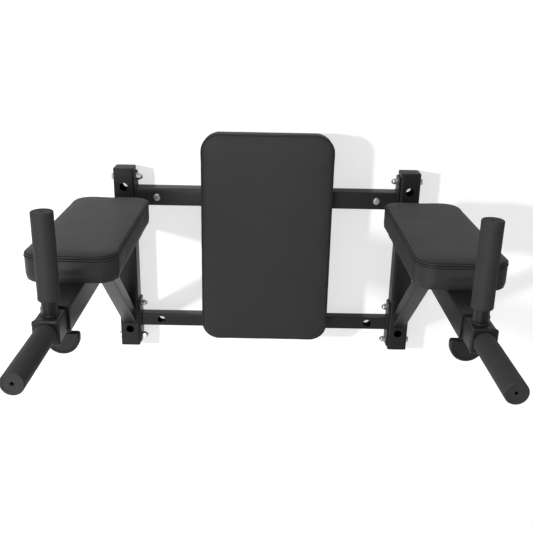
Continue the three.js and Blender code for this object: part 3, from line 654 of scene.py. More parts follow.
# Arm collars
# Moulded black rings in the arms' mouths: a 2 mm flange with rounded edges, and a sleeve that guides
# the sliding insert.
INSERT_SECTION = 0.038
INSERT_RADIUS = 0.003
COLLAR_FLANGE = 0.002
COLLAR_SLEEVE = 0.012

for name, side in SIDES:
    bore = INSERT_SECTION + 2 * SEAT_GAP
    bore_radius = INSERT_RADIUS + SEAT_GAP
    inner = ARM_SECTION - 2 * ARM_WALL - 2 * SEAT_GAP
    edge = 0.0006
    steps = (
        (inner, ARM_RADIUS - ARM_WALL, -COLLAR_SLEEVE),
        (inner, ARM_RADIUS - ARM_WALL, SEAT_LIFT),
        (ARM_SECTION, ARM_RADIUS, SEAT_LIFT),
        (ARM_SECTION, ARM_RADIUS, COLLAR_FLANGE - edge),
        (ARM_SECTION - 2 * edge, ARM_RADIUS - edge, COLLAR_FLANGE),
        (bore + edge, bore_radius, COLLAR_FLANGE),
        (bore, bore_radius, COLLAR_FLANGE - edge / 2),
        (bore, bore_radius, -COLLAR_SLEEVE),
    )
    collar = skin(square_rings(steps), closed=True)
    moved(collar, turn(90, "X"), (side * UPRIGHT_X, ARM_MOUTH, ARM_Z))
    fit(f"{name}_mouth_collar", collar, "wall_frame", plastic, f"{name}_arm_collar")

# Clamp nuts
# A steel hex nut, 10 mm high, welded under each arm's mouth and painted with the frame. The clamp stud
# turns in it.
CLAMP_NUT_FLATS = 0.013
CLAMP_NUT_HEIGHT = 0.010
CLAMP_NUT_BORE = 0.0086

for name, side in SIDES:
    nut = chamfered_hexagon(CLAMP_NUT_FLATS, CLAMP_NUT_HEIGHT, True)
    nut = worked(nut, hole(CLAMP_NUT_BORE, "Z", CLAMP_NUT_HEIGHT, (0, 0, CLAMP_NUT_HEIGHT / 2)))
    moved(nut, (side * UPRIGHT_X, CLAMP_Y, ARM_UNDERSIDE - CLAMP_NUT_HEIGHT))
    fit(f"{name}_welded_nut", nut, "wall_frame", coat, f"{name}_clamp_nut")

# Clamp studs and knobs
# A threaded M8 stud in a moulded thumb knob: an upright blade, straight across its top and half-round
# below, with a rim round both faces and a small hub. The stud bears on the insert from below.
KNOB_TOP = ARM_UNDERSIDE - 0.013
KNOB_WIDTH = 0.055
KNOB_HEIGHT = 0.037
KNOB_THICKNESS = 0.014
KNOB_ROUNDING = 0.0026
KNOB_CORNER = 0.0042
KNOB_ARC_STEPS = 40
KNOB_RIM = 0.0044
KNOB_RIM_SLOPE = 0.001
KNOB_RECESS = 0.0009
HUB_RADIUS = 0.0068
HUB_RISE = 0.0016
STUD_DIAMETER = 0.008
STUD_IN_KNOB = 0.018
STUD_PITCH = 0.00125
STUD_WAVE = 0.00035
STUD_SIDES = 32
ROWS_PER_TURN = 6


def knob_outline(inset):
    """The blade's outline in X and Z below its top, with small corners at the ends of the straight edge."""
    radius = KNOB_WIDTH / 2 - inset
    middle = KNOB_WIDTH / 2 - KNOB_HEIGHT
    corner = KNOB_CORNER - inset * 0.5
    angles = [math.pi + math.pi * i / KNOB_ARC_STEPS for i in range(KNOB_ARC_STEPS + 1)]
    points = [(radius * math.cos(a), middle + radius * math.sin(a)) for a in angles]
    for quarter, cx in ((0, radius - corner), (1, corner - radius)):
        for step in range(CORNER_STEPS + 1):
            angle = (quarter + step / CORNER_STEPS) * math.pi / 2
            points.append((cx + corner * math.cos(angle), corner * (math.sin(angle) - 1) - inset))
    return points


def knob():
    """The blade below z = 0 with the hub on its top, bored for the stud."""
    half = KNOB_THICKNESS / 2
    steps = [(inset, half - drop) for inset, drop in quarter_round(KNOB_ROUNDING)]
    steps += [(KNOB_RIM, half), (KNOB_RIM + KNOB_RIM_SLOPE, half - KNOB_RECESS)]
    steps = [(inset, -depth) for inset, depth in reversed(steps)] + steps
    rings = [[(x, z, depth) for x, z in knob_outline(inset)] for inset, depth in steps]
    blade = moved(skin(rings), turn(90, "X"))
    edge = 0.0006
    root = -0.002
    profile = ((0, root), (HUB_RADIUS, root), (HUB_RADIUS, HUB_RISE - edge), (HUB_RADIUS - edge, HUB_RISE),
               (0, HUB_RISE))
    whole = worked(blade, turned(profile, HOLE_SIDES), operation="UNION")
    return worked(whole, hole(STUD_DIAMETER + 2 * SEAT_GAP, "Z", 2 * STUD_IN_KNOB, (0, 0, 0)))


def threaded_stud(diameter, length):
    """A stud up +Z whose thread is a fine wave that winds round it."""
    rows = int(length / STUD_PITCH * ROWS_PER_TURN)
    rings = []
    for row in range(rows + 1):
        z = length * row / rows
        ring = []
        for i in range(STUD_SIDES):
            angle = 2 * math.pi * i / STUD_SIDES
            winding = 2 * math.pi * (z / STUD_PITCH - i / STUD_SIDES)
            radius = diameter / 2 - STUD_WAVE * (1 + math.cos(winding))
            ring.append((radius * math.cos(angle), radius * math.sin(angle), z))
        rings.append(ring)
    return skin(rings)


for name, side in SIDES:
    axis = (side * UPRIGHT_X, CLAMP_Y, KNOB_TOP)
    grip = moved(knob(), axis)
    fit(f"{name}_hand_knob", grip, f"{name}_clamp", plastic, f"{name}_clamp_knob")
    length = STUD_IN_KNOB + ARM_Z - INSERT_SECTION / 2 - SEAT_GAP - KNOB_TOP
    stud = moved(threaded_stud(STUD_DIAMETER, length), (0, 0, -STUD_IN_KNOB), axis)
    fit(f"{name}_threaded_stud", stud, f"{name}_clamp", zinc, f"{name}_clamp_stud", crease=80)

# Handle inserts
# 38 mm square tubes with 2 mm walls that slide in the arms. A plate with chamfered edges is welded over
# the front of each.
INSERT_WALL = 0.002
INSERT_FRONT = ARM_MOUTH - COLLAR_FLANGE - 0.054
INSERT_BACK = ARM_MOUTH + 0.130
FRONT_PLATE = 0.003
FRONT_PLATE_CHAMFER = 0.0014
FRONT_PLATE_LAP = 0.0005

for name, side in SIDES:
    tube_length = INSERT_BACK - INSERT_FRONT - (FRONT_PLATE - FRONT_PLATE_LAP)
    tube = moved(square_tube(INSERT_SECTION, INSERT_WALL, INSERT_RADIUS, tube_length), turn(90, "X"))
    plate = bevelled_plate(INSERT_SECTION, INSERT_SECTION, INSERT_RADIUS, FRONT_PLATE, FRONT_PLATE_CHAMFER)
    moved(plate, turn(90, "X"), (0, INSERT_FRONT - INSERT_BACK + FRONT_PLATE, 0))
    whole = moved(gathered(tube, plate), (side * UPRIGHT_X, INSERT_BACK, ARM_Z))
    node = f"{name}_handle_insert"
    fit(f"{node}_steel", whole, f"{name}_handle", coat, node)

# Handle tubes
# 25 mm round steel tubes with 2 mm walls, powder-coated and welded to each insert: one upright on its
# top and one straight out of its front. They stop short of the closed ends of their grips.
HANDLE_DIAMETER = 0.025
HANDLE_WALL = 0.002
HANDLE_SIDES = 56
HANDLE_Y = INSERT_FRONT + 0.031
HANDLE_BASE = ARM_Z + INSERT_SECTION / 2
UPRIGHT_HANDLE = 0.1615
FORWARD_HANDLE = 0.153
GRIP_END = 0.005


def handle_tube(reach):
    """A tube up +Z whose grip reaches that far."""
    outer = HANDLE_DIAMETER / 2
    return sleeve(outer - HANDLE_WALL, outer, reach - GRIP_END - SEAT_GAP, HANDLE_SIDES)


for name, side in SIDES:
    x = side * UPRIGHT_X
    standing = moved(handle_tube(UPRIGHT_HANDLE), (x, HANDLE_Y, HANDLE_BASE))
    node = f"{name}_upright_handle"
    fit(f"{node}_tube", standing, f"{name}_handle", coat, node)
    forward = moved(handle_tube(FORWARD_HANDLE), turn(90, "X"), (x, INSERT_FRONT, ARM_Z))
    node = f"{name}_forward_handle"
    fit(f"{node}_tube", forward, f"{name}_handle", coat, node)

# Foam grips
# Closed-cell foam sleeves, 34 mm across with a rounded closed end and a small vent, pushed over the
# tubes. The foam's skin is dull and finely pitted and gives a little along its length.
GRIP_DIAMETER = 0.034
GRIP_SIDES = 72
GRIP_FOOT = ((0.0012, 0), (0.0004, 0.0006))
GRIP_LIP = 0.0018
GRIP_SLIMMING = 0.0002
GRIP_WAVER = 0.00018
WAVER_PACE = 40
WAVER_ROWS = 24
GRIP_ROUNDING = 0.0018
GRIP_RIM = 0.0022
GRIP_DISH = 0.0006
GRIP_VENT = 0.005
VENT_EDGE = 0.0008
UPRIGHT_BARE = 0.024
FORWARD_BARE = 0.001


def foam():
    finish = Finish("closed_cell_foam", "foam_rubber")
    place = finish.place()
    cells = finish.node("ShaderNodeTexVoronoi", {}, {"Vector": place, "Scale": 1400})
    grain = finish.noise(place, 620, 4, 0.6)
    cloud = finish.noise(place, 30, 3)
    rub = finish.noise(place, 11, 2)
    finish.coat(
        Base_Color=finish.between(cloud * 0.5 + grain * 0.5, (0.018, 0.018, 0.0184), (0.034, 0.034, 0.0348)),
        Roughness=rub * 0.2 + grain * 0.1 + 0.52,
        Specular_IOR_Level=0.3,
        Normal=finish.bump(grain + cells * 0.5, 0.0003, 0.5),
    )
    return finish


def foam_grip(length, phase):
    """A grip up +Z from z = 0, a touch uneven along its length as soft foam is."""
    outer = GRIP_DIAMETER / 2
    inner = HANDLE_DIAMETER / 2 + SEAT_GAP
    vent = GRIP_VENT / 2
    profile = [(inner, 0), *((outer - inset, z) for inset, z in GRIP_FOOT), (outer, GRIP_LIP)]
    slim = outer - GRIP_SLIMMING
    straight = length - GRIP_ROUNDING - GRIP_LIP
    for row in range(1, WAVER_ROWS + 1):
        z = GRIP_LIP + straight * row / WAVER_ROWS
        waver = GRIP_WAVER * noise.noise(Vector((0, phase, z * WAVER_PACE)))
        profile.append((slim + waver, z))
    profile += [(slim - inset, length - drop) for inset, drop in quarter_round(GRIP_ROUNDING, 7)[1:]]
    rim = slim - GRIP_ROUNDING - GRIP_RIM
    dish = length - GRIP_DISH
    cavity = length - GRIP_END
    profile += [(rim, length), (rim - GRIP_DISH, dish), (vent + VENT_EDGE, dish), (vent, dish - VENT_EDGE)]
    profile += [(vent, cavity), (inner, cavity), (inner, 0)]
    return turned_ring(profile, GRIP_SIDES)


foam_finish = foam()
for name, side in SIDES:
    x = side * UPRIGHT_X
    standing = foam_grip(UPRIGHT_HANDLE - UPRIGHT_BARE, side)
    moved(standing, (x, HANDLE_Y, HANDLE_BASE + UPRIGHT_BARE))
    forward = foam_grip(FORWARD_HANDLE - FORWARD_BARE, 3 + side)
    moved(forward, turn(90, "X"), (x, INSERT_FRONT - FORWARD_BARE, ARM_Z))
    for way, foam_sleeve in (("upright", standing), ("forward", forward)):
        grip = fit(f"{name}_{way}_foam", foam_sleeve, f"{name}_handle", foam_finish, f"{name}_{way}_grip")

# Weld beads
# Every steel joint that shows has a small rippled fillet weld, laid by hand and painted over with the
# rest of the frame.
BEAD_RADIUS = 0.0021
BEAD_RIPPLE = 0.0017
BEAD_SIDES = 8
BODY_SHARE = 0.94
RIPPLE_SHARE = 0.11
SWELL_SHARE = 0.16
SWELL_PACE = 90
TAPER_START = 0.45
TAPER_SLOPE = 180
ARM_BEAD_LIFT = 0.0005
BRACE_BEAD_LIFT = 0.0006
BAR_BEAD_SINK = 0.0004
BAR_BEAD_START = -0.003
BAR_BEAD_CUT = 0.3
NUT_BEAD_RADIUS = 0.0068
NUT_BEAD_LIFT = 0.0004
HANDLE_BEAD_LIFT = 0.0003
PLATE_BEAD_SINK = 0.0004
PLATE_BEAD_GAP = 0.0001


def swept(path, up, sides, size, closed):
    """A closed skin along the path; size(run) is its radius that far along."""
    count = len(path)
    rings = []
    run = 0
    for i, point in enumerate(path):
        before = path[i - 1] if closed or i else point
        after = path[(i + 1) % count] if closed or i < count - 1 else point
        heading = (after - before).normalized()
        outward = heading.cross(up)
        radius = size(run)
        angles = [2 * math.pi * k / sides for k in range(sides)]
        rings.append([point + radius * (math.cos(a) * outward + math.sin(a) * up) for a in angles])
        run += (path[(i + 1) % count] - point).length
    return skin(rings, closed=closed)


def evened(corners, gap, closed):
    """Points at even gaps along a line through the corners."""
    corners = [Vector(corner) for corner in corners]
    if closed:
        corners.append(corners[0])
    lengths = [(b - a).length for a, b in zip(corners, corners[1:])]
    count = max(4, round(sum(lengths) / gap))
    points = []
    for i in range(count if closed else count + 1):
        left = sum(lengths) * i / count
        for (a, b), length in zip(zip(corners, corners[1:]), lengths):
            if left <= length or (a, b) == (corners[-2], corners[-1]):
                points.append(a.lerp(b, min(left / length, 1)))
                break
            left -= length
    return points


def bead(corners, up, seed, closed=True):
    """A fillet bead: round, rippled at an even pace and a little thicker here and there."""
    path = evened(corners, BEAD_RIPPLE / 4, closed)
    total = sum((b - a).length for a, b in zip(path, path[1:]))

    def size(run):
        ripple = RIPPLE_SHARE * abs(math.sin(math.pi * run / BEAD_RIPPLE))
        swell = SWELL_SHARE * noise.noise(Vector((seed, run * SWELL_PACE, 0)))
        taper = 1 if closed else min(1, TAPER_START + TAPER_SLOPE * min(run, max(total - run, 0)))
        return BEAD_RADIUS * taper * (BODY_SHARE + ripple + swell)

    return swept(path, Vector(up), BEAD_SIDES, size, closed)


def loop(width, height, radius, middle, axis):
    """Corners of a rounded rectangle that lies across the axis, about its middle."""
    points = []
    for a, b in rounded_outline(width, height, radius):
        offset = {"Y": (a, 0, b), "Z": (a, b, 0)}[axis]
        points.append(Vector(middle) + Vector(offset))
    return points


def circle(radius, middle, count):
    """Points of a level circle about its middle."""
    x, y, z = middle
    angles = [2 * math.pi * i / count for i in range(count)]
    return [(x + radius * math.cos(a), y + radius * math.sin(a), z) for a in angles]


SLOPE = math.atan2(ARM_UNDERSIDE - BRACE_FOOT, BRACE_REACH)
FOOT_HEIGHT = BRACE_SECTION / math.cos(SLOPE)
HEAD_DEPTH = BRACE_SECTION / math.sin(SLOPE)
for name, side in SIDES:
    x = side * UPRIGHT_X
    root = loop(ARM_SECTION, ARM_SECTION, ARM_RADIUS, (x, ARM_BACK - ARM_BEAD_LIFT, ARM_Z), "Y")
    foot_middle = (x, ARM_BACK - BRACE_BEAD_LIFT, BRACE_FOOT + FOOT_HEIGHT / 2)
    foot = loop(BRACE_SECTION, FOOT_HEIGHT, BAR_RADIUS, foot_middle, "Y")
    head_middle = (x, ARM_BACK - BRACE_REACH + HEAD_DEPTH / 2, ARM_UNDERSIDE - BRACE_BEAD_LIFT)
    head = loop(BRACE_SECTION, HEAD_DEPTH, BAR_RADIUS, head_middle, "Z")
    nut_ring = circle(NUT_BEAD_RADIUS, (x, CLAMP_Y, ARM_UNDERSIDE - NUT_BEAD_LIFT), 24)
    beads = [bead(root, (0, 1, 0), side), bead(foot, (0, 1, 0), side + 5), bead(head, (0, 0, 1), side + 9)]
    beads.append(bead(nut_ring, (0, 0, 1), side + 13))
    for level, section, z in (("upper", UPPER_BAR, 0), ("lower", LOWER_BAR, LOWER_BAR_Z)):
        end = side * (BAR_LENGTH / 2 - BAR_BEAD_SINK)
        low, high = z - section / 2, z + section / 2
        corner = BAR_RADIUS * BAR_BEAD_CUT
        front = -section + corner
        turn_in = front - corner + BAR_RADIUS
        line = [(end, BAR_BEAD_START, low), (end, turn_in, low), (end, front, low + corner),
                (end, -section, low + BAR_RADIUS), (end, -section, high - BAR_RADIUS),
                (end, front, high - corner), (end, turn_in, high), (end, BAR_BEAD_START, high)]
        beads.append(bead(line, (1, 0, 0), side + len(level) + z, closed=False))
    fit(f"{name}_frame_weld_beads", gathered(*beads), "wall_frame", coat, crease=60)
    base_middle = (x, HANDLE_Y, HANDLE_BASE + HANDLE_BEAD_LIFT)
    base = circle(HANDLE_DIAMETER / 2 + HANDLE_BEAD_LIFT, base_middle, 36)
    mouth_size = INSERT_SECTION - 2 * PLATE_BEAD_SINK
    mouth_middle = (x, INSERT_FRONT + (FRONT_PLATE + PLATE_BEAD_GAP), ARM_Z)
    mouth = loop(mouth_size, mouth_size, INSERT_RADIUS, mouth_middle, "Y")
    welded = gathered(bead(base, (0, 0, 1), side + 21), bead(mouth, (0, 1, 0), side + 25))
    fit(f"{name}_handle_weld_beads", welded, f"{name}_handle", coat, crease=60)

# Pad boards and their bolts
# Boards of 12 mm plywood with eased edges. M8 hex bolts with washers come up through the arms, and
# forward through the crossbars, into the boards.
PAD_WIDTH = 0.160
PAD_LENGTH = 0.4025
PAD_OUTSET = 0.0035
PAD_Y = ARM_MOUTH + 0.092 + PAD_LENGTH / 2
BACKREST_WIDTH = 0.293
BACKREST_TOP = 0.154
BACKREST_BOTTOM = LOWER_BAR_Z - 0.020
BACKREST_HEIGHT = BACKREST_TOP - BACKREST_BOTTOM
BACKREST_Z = (BACKREST_TOP + BACKREST_BOTTOM) / 2
BOARD_THICKNESS = 0.012
BOARD_INSET = 0.010
BOARD_CORNER = 0.026
BOARD_SKIN = 0.0015
BOLT_TIP = BOARD_THICKNESS - 0.0018


def plywood():
    finish = Finish("bare_plywood", "plywood")
    place = finish.place()
    stretched = finish.node("ShaderNodeMapping", {}, {"Vector": place, "Scale": (1, 9, 9)})
    fibre = finish.noise(stretched, 60, 5, 0.65)
    cloud = finish.noise(place, 12, 3)
    finish.coat(
        Base_Color=finish.between(fibre * 0.7 + cloud * 0.3, (0.30, 0.19, 0.095), (0.52, 0.37, 0.21)),
        Roughness=fibre * 0.2 + 0.6,
        Normal=finish.bump(fibre, 0.0004, 0.5),
    )
    return finish


def pad_board(width, length, bolts):
    board = bevelled_plate(width - 2 * BOARD_INSET, length - 2 * BOARD_INSET, BOARD_CORNER, BOARD_THICKNESS)
    depth = BOARD_THICKNESS - BOARD_SKIN
    tools = [moved(rod(CLEARANCE_HOLE, 2 * depth), (x, y, -depth)) for x, y in bolts]
    return worked(board, *tools)


def pad_bolt(seat):
    """A hex bolt whose washer bears that far below the board, which rests on z = 0."""
    face = seat + WASHER_THICKNESS + SEAT_GAP
    shank = rod(BOLT_DIAMETER, face + BOLT_TIP, BOLT_SIDES)
    return moved(gathered(hex_head(), washer(), shank), (0, 0, -face))


wood = plywood()
for name, side in SIDES:
    offset = side * PAD_OUTSET
    place = (side * UPRIGHT_X + offset, PAD_Y, ARM_TOP)
    bolts = [(-offset, y - PAD_Y) for y in PAD_BOLTS_Y]
    board = moved(pad_board(PAD_WIDTH, PAD_LENGTH, bolts), place)
    fit(f"{name}_pad_board", board, "wall_frame", wood, f"{name}_arm_pad_board")
    for end, (x, y), tightened_to in zip(("front", "back"), bolts, (8, 41)):
        bolt = moved(pad_bolt(ARM_SECTION), turn(tightened_to, "Z"), (x, y, 0), place)
        node = f"{name}_arm_pad_{end}_bolt"
        fit(f"{node}_with_washer", bolt, "wall_frame", zinc, node)
stand_up = (turn(90, "X"), (0, -UPPER_BAR - SEAT_GAP, BACKREST_Z))
seats = (("upper", -BACKREST_Z, BAR_WALL + SEAT_GAP),
         ("lower", LOWER_BAR_Z - BACKREST_Z, UPPER_BAR - LOWER_BAR + BAR_WALL + SEAT_GAP))
bolts = [(side * BACKREST_BOLT_X, y) for _, y, _ in seats for side in (-1, 1)]
board = moved(pad_board(BACKREST_WIDTH, BACKREST_HEIGHT, bolts), *stand_up)
fit("backrest_plywood", board, "wall_frame", wood, "backrest_board")
for level, y, seat in seats:
    for end, side in SIDES:
        tightened_to = 20 + 15 * side
        bolt = moved(pad_bolt(seat), turn(tightened_to, "Z"), (side * BACKREST_BOLT_X, y, 0), *stand_up)
        node = f"backrest_{level}_{end}_bolt"
        fit(f"{node}_with_washer", bolt, "wall_frame", zinc, node)

# Cushions
# Firm foam under black vinyl with a fine grain. Two close welts run round the sides, with three rows of
# very dark thread beside them, partly real stitching and partly painted shade in the creases along the
# welts, and the cover is pulled in under the board. A cloth simulation blows it up a little.
PAD_HEIGHT = 0.052
PAD_CORNER = 0.035
BACKREST_THICKNESS = 0.052
BACKREST_CORNER = 0.039
FOAM_FOOT = ((0.0004, 0), (0, 0.0005))
FOAM_ROLL = 0.006
FOAM_CROWN = 0.0018
CROWN_ROWS = 9
CROWN_SPACING = 1.5
CROWN_CURVE = 4
COVER_CELL = 0.0048
COVER_TRAVEL = 0.0018
COVER_PRESSURE = 4
COVER_FRAMES = 20
COVER_UNDERSIDE = COVER_CELL * 0.4
FLAT_FOOT = 0.003
COVER_ALLOWANCE = 0.001
POCKET_SLACK = 0.0006
SEAM_GAP = 0.0025
SEAM_REACH = 0.02
SEAM_SIDES = 8
SEAM_CORNER_STEPS = 12
SEAM_UNEVENNESS = 0.12
SEAM_PACE = 60
WELT_DEPTHS = (0.0079, 0.0119)
WELT_RADIUS = 0.0015
WELT_SINK = 0.0002
# Depths of the dark thread rows, which also paint the shade of the creases beside the welts.
CREASE_SHADE_THREAD_DEPTHS = (0.0059, 0.0099, 0.0139)
CREASE_SHADE_THREAD_RADIUS = 0.0005
CREASE_SHADE_THREAD_SINK = 0.0001


def black_vinyl():
    finish = Finish("grained_black_vinyl", "black_vinyl")
    place = finish.place()
    edges = {"feature": "DISTANCE_TO_EDGE"}
    grain = finish.node("ShaderNodeTexVoronoi", edges, {"Vector": place, "Scale": 620})
    pores = finish.noise(place, 1500, 2)
    hand = finish.noise(place, 14, 3)
    pull = finish.noise(place, 34, 2)
    leather = finish.ramp(grain, (0.0, 0.0), (0.16, 1.0))
    finish.coat(
        Base_Color=finish.between(hand * 0.6 + pores * 0.4, (0.024, 0.024, 0.0244), (0.036, 0.036, 0.0365)),
        Roughness=hand * 0.14 + pores * 0.1 + 0.38,
        Specular_IOR_Level=0.2,
        Normal=finish.bump(leather * 0.5 + pores * 0.5, 0.00018, 0.4, finish.bump(pull, 0.0012, 0.25)),
    )
    return finish


# Very dark thread, darker than the vinyl: real stitching, and painted shade that stands in for the creases
# beside the welts.
def thread_and_crease_shade():
    finish = Finish("thread_and_painted_crease_shade", "black_vinyl")
    place = finish.place()
    twist = finish.noise(place, 1900, 2)
    finish.coat(
        Base_Color=finish.between(twist, (0.0055, 0.0055, 0.0056), (0.0105, 0.0105, 0.0108)),
        Roughness=twist * 0.1 + 0.75,
        Specular_IOR_Level=0.1,
        Normal=finish.bump(twist, 0.0002, 0.5),
    )
    return finish


def foam_block(width, length, height, corner):
    """The foam as it is cut: flat below, drawn in at its foot, rolled over at its face and crowned."""
    brow = height - FOAM_CROWN
    steps = [*FOAM_FOOT, *((inset, brow - drop) for inset, drop in quarter_round(FOAM_ROLL, 5))]
    for row in range(1, CROWN_ROWS):
        share = (row / CROWN_ROWS) ** CROWN_SPACING
        inset = FOAM_ROLL + (width / 2 - FOAM_ROLL) * share
        steps.append((inset, height - FOAM_CROWN * (1 - share) ** CROWN_CURVE))
    return skin(inset_rings(width, length, corner, steps))


def blown_up(block):
    """The block's cover after the simulation, with its underside flat and no point moved too far."""
    cover = loose_object(block, "cover")
    remesh = cover.modifiers.new("even_cells", "REMESH")
    remesh.mode = "VOXEL"
    remesh.voxel_size = COVER_CELL
    graph = bpy.context.evaluated_depsgraph_get()
    even = bpy.data.meshes.new_from_object(cover.evaluated_get(graph))
    cover.modifiers.clear()
    cover.data = even
    rest = [vertex.co.copy() for vertex in even.vertices]
    cloth = cover.modifiers.new("air", "CLOTH")
    cloth.settings.use_pressure = True
    cloth.settings.uniform_pressure_force = COVER_PRESSURE
    cloth.settings.effector_weights.gravity = 0
    cloth.point_cache.frame_start = 1
    cloth.point_cache.frame_end = COVER_FRAMES
    for frame_number in range(1, COVER_FRAMES + 1):
        bpy.context.scene.frame_set(frame_number)
    graph = bpy.context.evaluated_depsgraph_get()
    blown = cover.evaluated_get(graph).to_mesh()
    for vertex, start, after in zip(even.vertices, rest, [v.co.copy() for v in blown.vertices]):
        travel = after - start
        if travel.length > COVER_TRAVEL:
            travel *= COVER_TRAVEL / travel.length
        if start.z < COVER_UNDERSIDE:
            travel.z = 0
        vertex.co = start + travel
    cover.modifiers.clear()
    finer = cover.modifiers.new("finer", "SUBSURF")
    finer.levels = 1
    graph = bpy.context.evaluated_depsgraph_get()
    result = bmesh.new()
    result.from_object(cover, graph)
    bpy.data.objects.remove(cover)
    for vertex in result.verts:
        if vertex.co.z < FLAT_FOOT:
            vertex.co.z = 0
    return result


def brought_to(mesh, width, length, height):
    """The mesh after it has been stretched a little to its finished size, standing on z = 0."""
    low = [min(v.co[i] for v in mesh.verts) for i in range(3)]
    high = [max(v.co[i] for v in mesh.verts) for i in range(3)]
    sizes = (width, length, height)
    middles = (0, 0, height / 2)
    for vertex in mesh.verts:
        vertex.co = [middles[i] + (vertex.co[i] - (low[i] + high[i]) / 2) * sizes[i] / (high[i] - low[i])
                     for i in range(3)]
    return mesh


def seam(cover, sizes, depth, radius, sink):
    """A cord or thread round the cover's side, that far below its face and part sunk in it."""
    width, length, height, corner = sizes
    skin_tree = BVHTree.FromBMesh(cover)
    outline = rounded_outline(width, length, corner, SEAM_CORNER_STEPS)
    path = evened([(x, y, height - depth) for x, y in outline], SEAM_GAP, True)
    upward = Vector((0, 0, 1))
    seed = depth * 900
    laid = []
    for i, point in enumerate(path):
        heading = (path[(i + 1) % len(path)] - path[i - 1]).normalized()
        inward = upward.cross(heading)
        hit, _, _, _ = skin_tree.ray_cast(point - inward * SEAM_REACH, inward)
        laid.append((hit or point) + inward * sink)

    def size(run):
        return radius * (1 + SEAM_UNEVENNESS * noise.noise(Vector((seed, run * SEAM_PACE, 0))))

    return swept(laid, upward, SEAM_SIDES, size, True)


def cushion(width, length, height, corner):
    """A cushion's cover with its welts and with a pocket for the board, and its dark threads: stitching and
    painted crease shade.
    """
    small = COVER_ALLOWANCE
    sizes = (width, length, height, corner)
    cover = blown_up(foam_block(width - 2 * small, length - 2 * small, height - small, corner))
    brought_to(cover, width, length, height)
    pocket_width, pocket_length = (size - 2 * BOARD_INSET + POCKET_SLACK for size in (width, length))
    pocket_outline = rounded_outline(pocket_width, pocket_length, BOARD_CORNER)
    below = 0.02
    pocket = moved(prism(pocket_outline, BOARD_THICKNESS + SEAT_GAP + below), (0, 0, -below))
    welts = [seam(cover, sizes, depth, WELT_RADIUS, WELT_SINK) for depth in WELT_DEPTHS]
    crease_shade_threads = [seam(cover, sizes, depth, CREASE_SHADE_THREAD_RADIUS, CREASE_SHADE_THREAD_SINK) for depth in CREASE_SHADE_THREAD_DEPTHS]
    return gathered(worked(cover, pocket), *welts), gathered(*crease_shade_threads)


def upholstered(name, node, sizes, *steps):
    """Makes a cushion in the place of its CAD node, and its dark threads beside it, which also paint shade
    in the creases.
    """
    cover, crease_shade_threads = cushion(*sizes)
    padding = fit(f"{name}_cushion", moved(cover, *steps), "wall_frame", vinyl, node, crease=50)
    fit(f"{name}_seam_threads_and_crease_shade", moved(crease_shade_threads, *steps), "wall_frame", thread_and_crease_shade_finish)


vinyl = black_vinyl()
thread_and_crease_shade_finish = thread_and_crease_shade()
for name, side in SIDES:
    place = (side * (UPRIGHT_X + PAD_OUTSET), PAD_Y, ARM_TOP + SEAT_GAP)
    upholstered(f"{name}_arm", f"{name}_arm_pad", (PAD_WIDTH, PAD_LENGTH, PAD_HEIGHT, PAD_CORNER), place)
backrest_sizes = (BACKREST_WIDTH, BACKREST_HEIGHT, BACKREST_THICKNESS, BACKREST_CORNER)
upholstered("backrest", "backrest_pad", backrest_sizes, (0, 0, SEAT_GAP), *stand_up)

# Camera
# It stands in front of the middle of the station and above it, and looks slightly down. Its place, its
# turns and its lens come from a fit to the photo.
CAMERA_PLACE = Vector((-0.0046, -1.6724, 0.4203))
YAW, PITCH, ROLL = (math.radians(angle) for angle in (0.25, 19.69, 1.18))
SENSOR_WIDTH = 36
FOCAL_LENGTH = 49.51
forward = Vector((math.sin(YAW) * math.cos(PITCH), math.cos(YAW) * math.cos(PITCH), -math.sin(PITCH)))
level = Vector((math.cos(YAW), -math.sin(YAW), 0))
upward = level.cross(forward)
across = math.cos(ROLL) * level + math.sin(ROLL) * upward
above = math.cos(ROLL) * upward - math.sin(ROLL) * level
lens = bpy.data.cameras.new("camera")
lens.sensor_width = SENSOR_WIDTH
lens.lens = FOCAL_LENGTH
camera = bpy.data.objects.new("camera", lens)
facing = Matrix((across, above, -forward)).transposed().to_4x4()
camera.matrix_world = Matrix.Translation(CAMERA_PLACE) @ facing
bpy.context.scene.collection.objects.link(camera)
bpy.context.scene.camera = camera

# Studio
# A white wall behind the station and a white floor below the picture's edge, both open from behind. A
# small lamp from the upper left lights them alone and throws the station's shadow on them. A softbox in
# front and one above light the station alone.
WALL_Y = 0.002
FLOOR_Z = -1.15
STUDIO_SIDE = 4
STUDIO_FRONT = -5
STUDIO_TOP = 3
GLOSS_SHARE = 0.35
# Painted reflection: extra glow that only glossy rays see on the backdrops, low down and on the left, where
# no bright sheet lies.
PAINTED_REFLECTION_SHARE = 0.8
PAINTED_REFLECTION_HEIGHTS = (-0.02, -0.32)
PAINTED_REFLECTION_SIDES = (0.1, -0.2)
AIR_LIGHT = 0.34


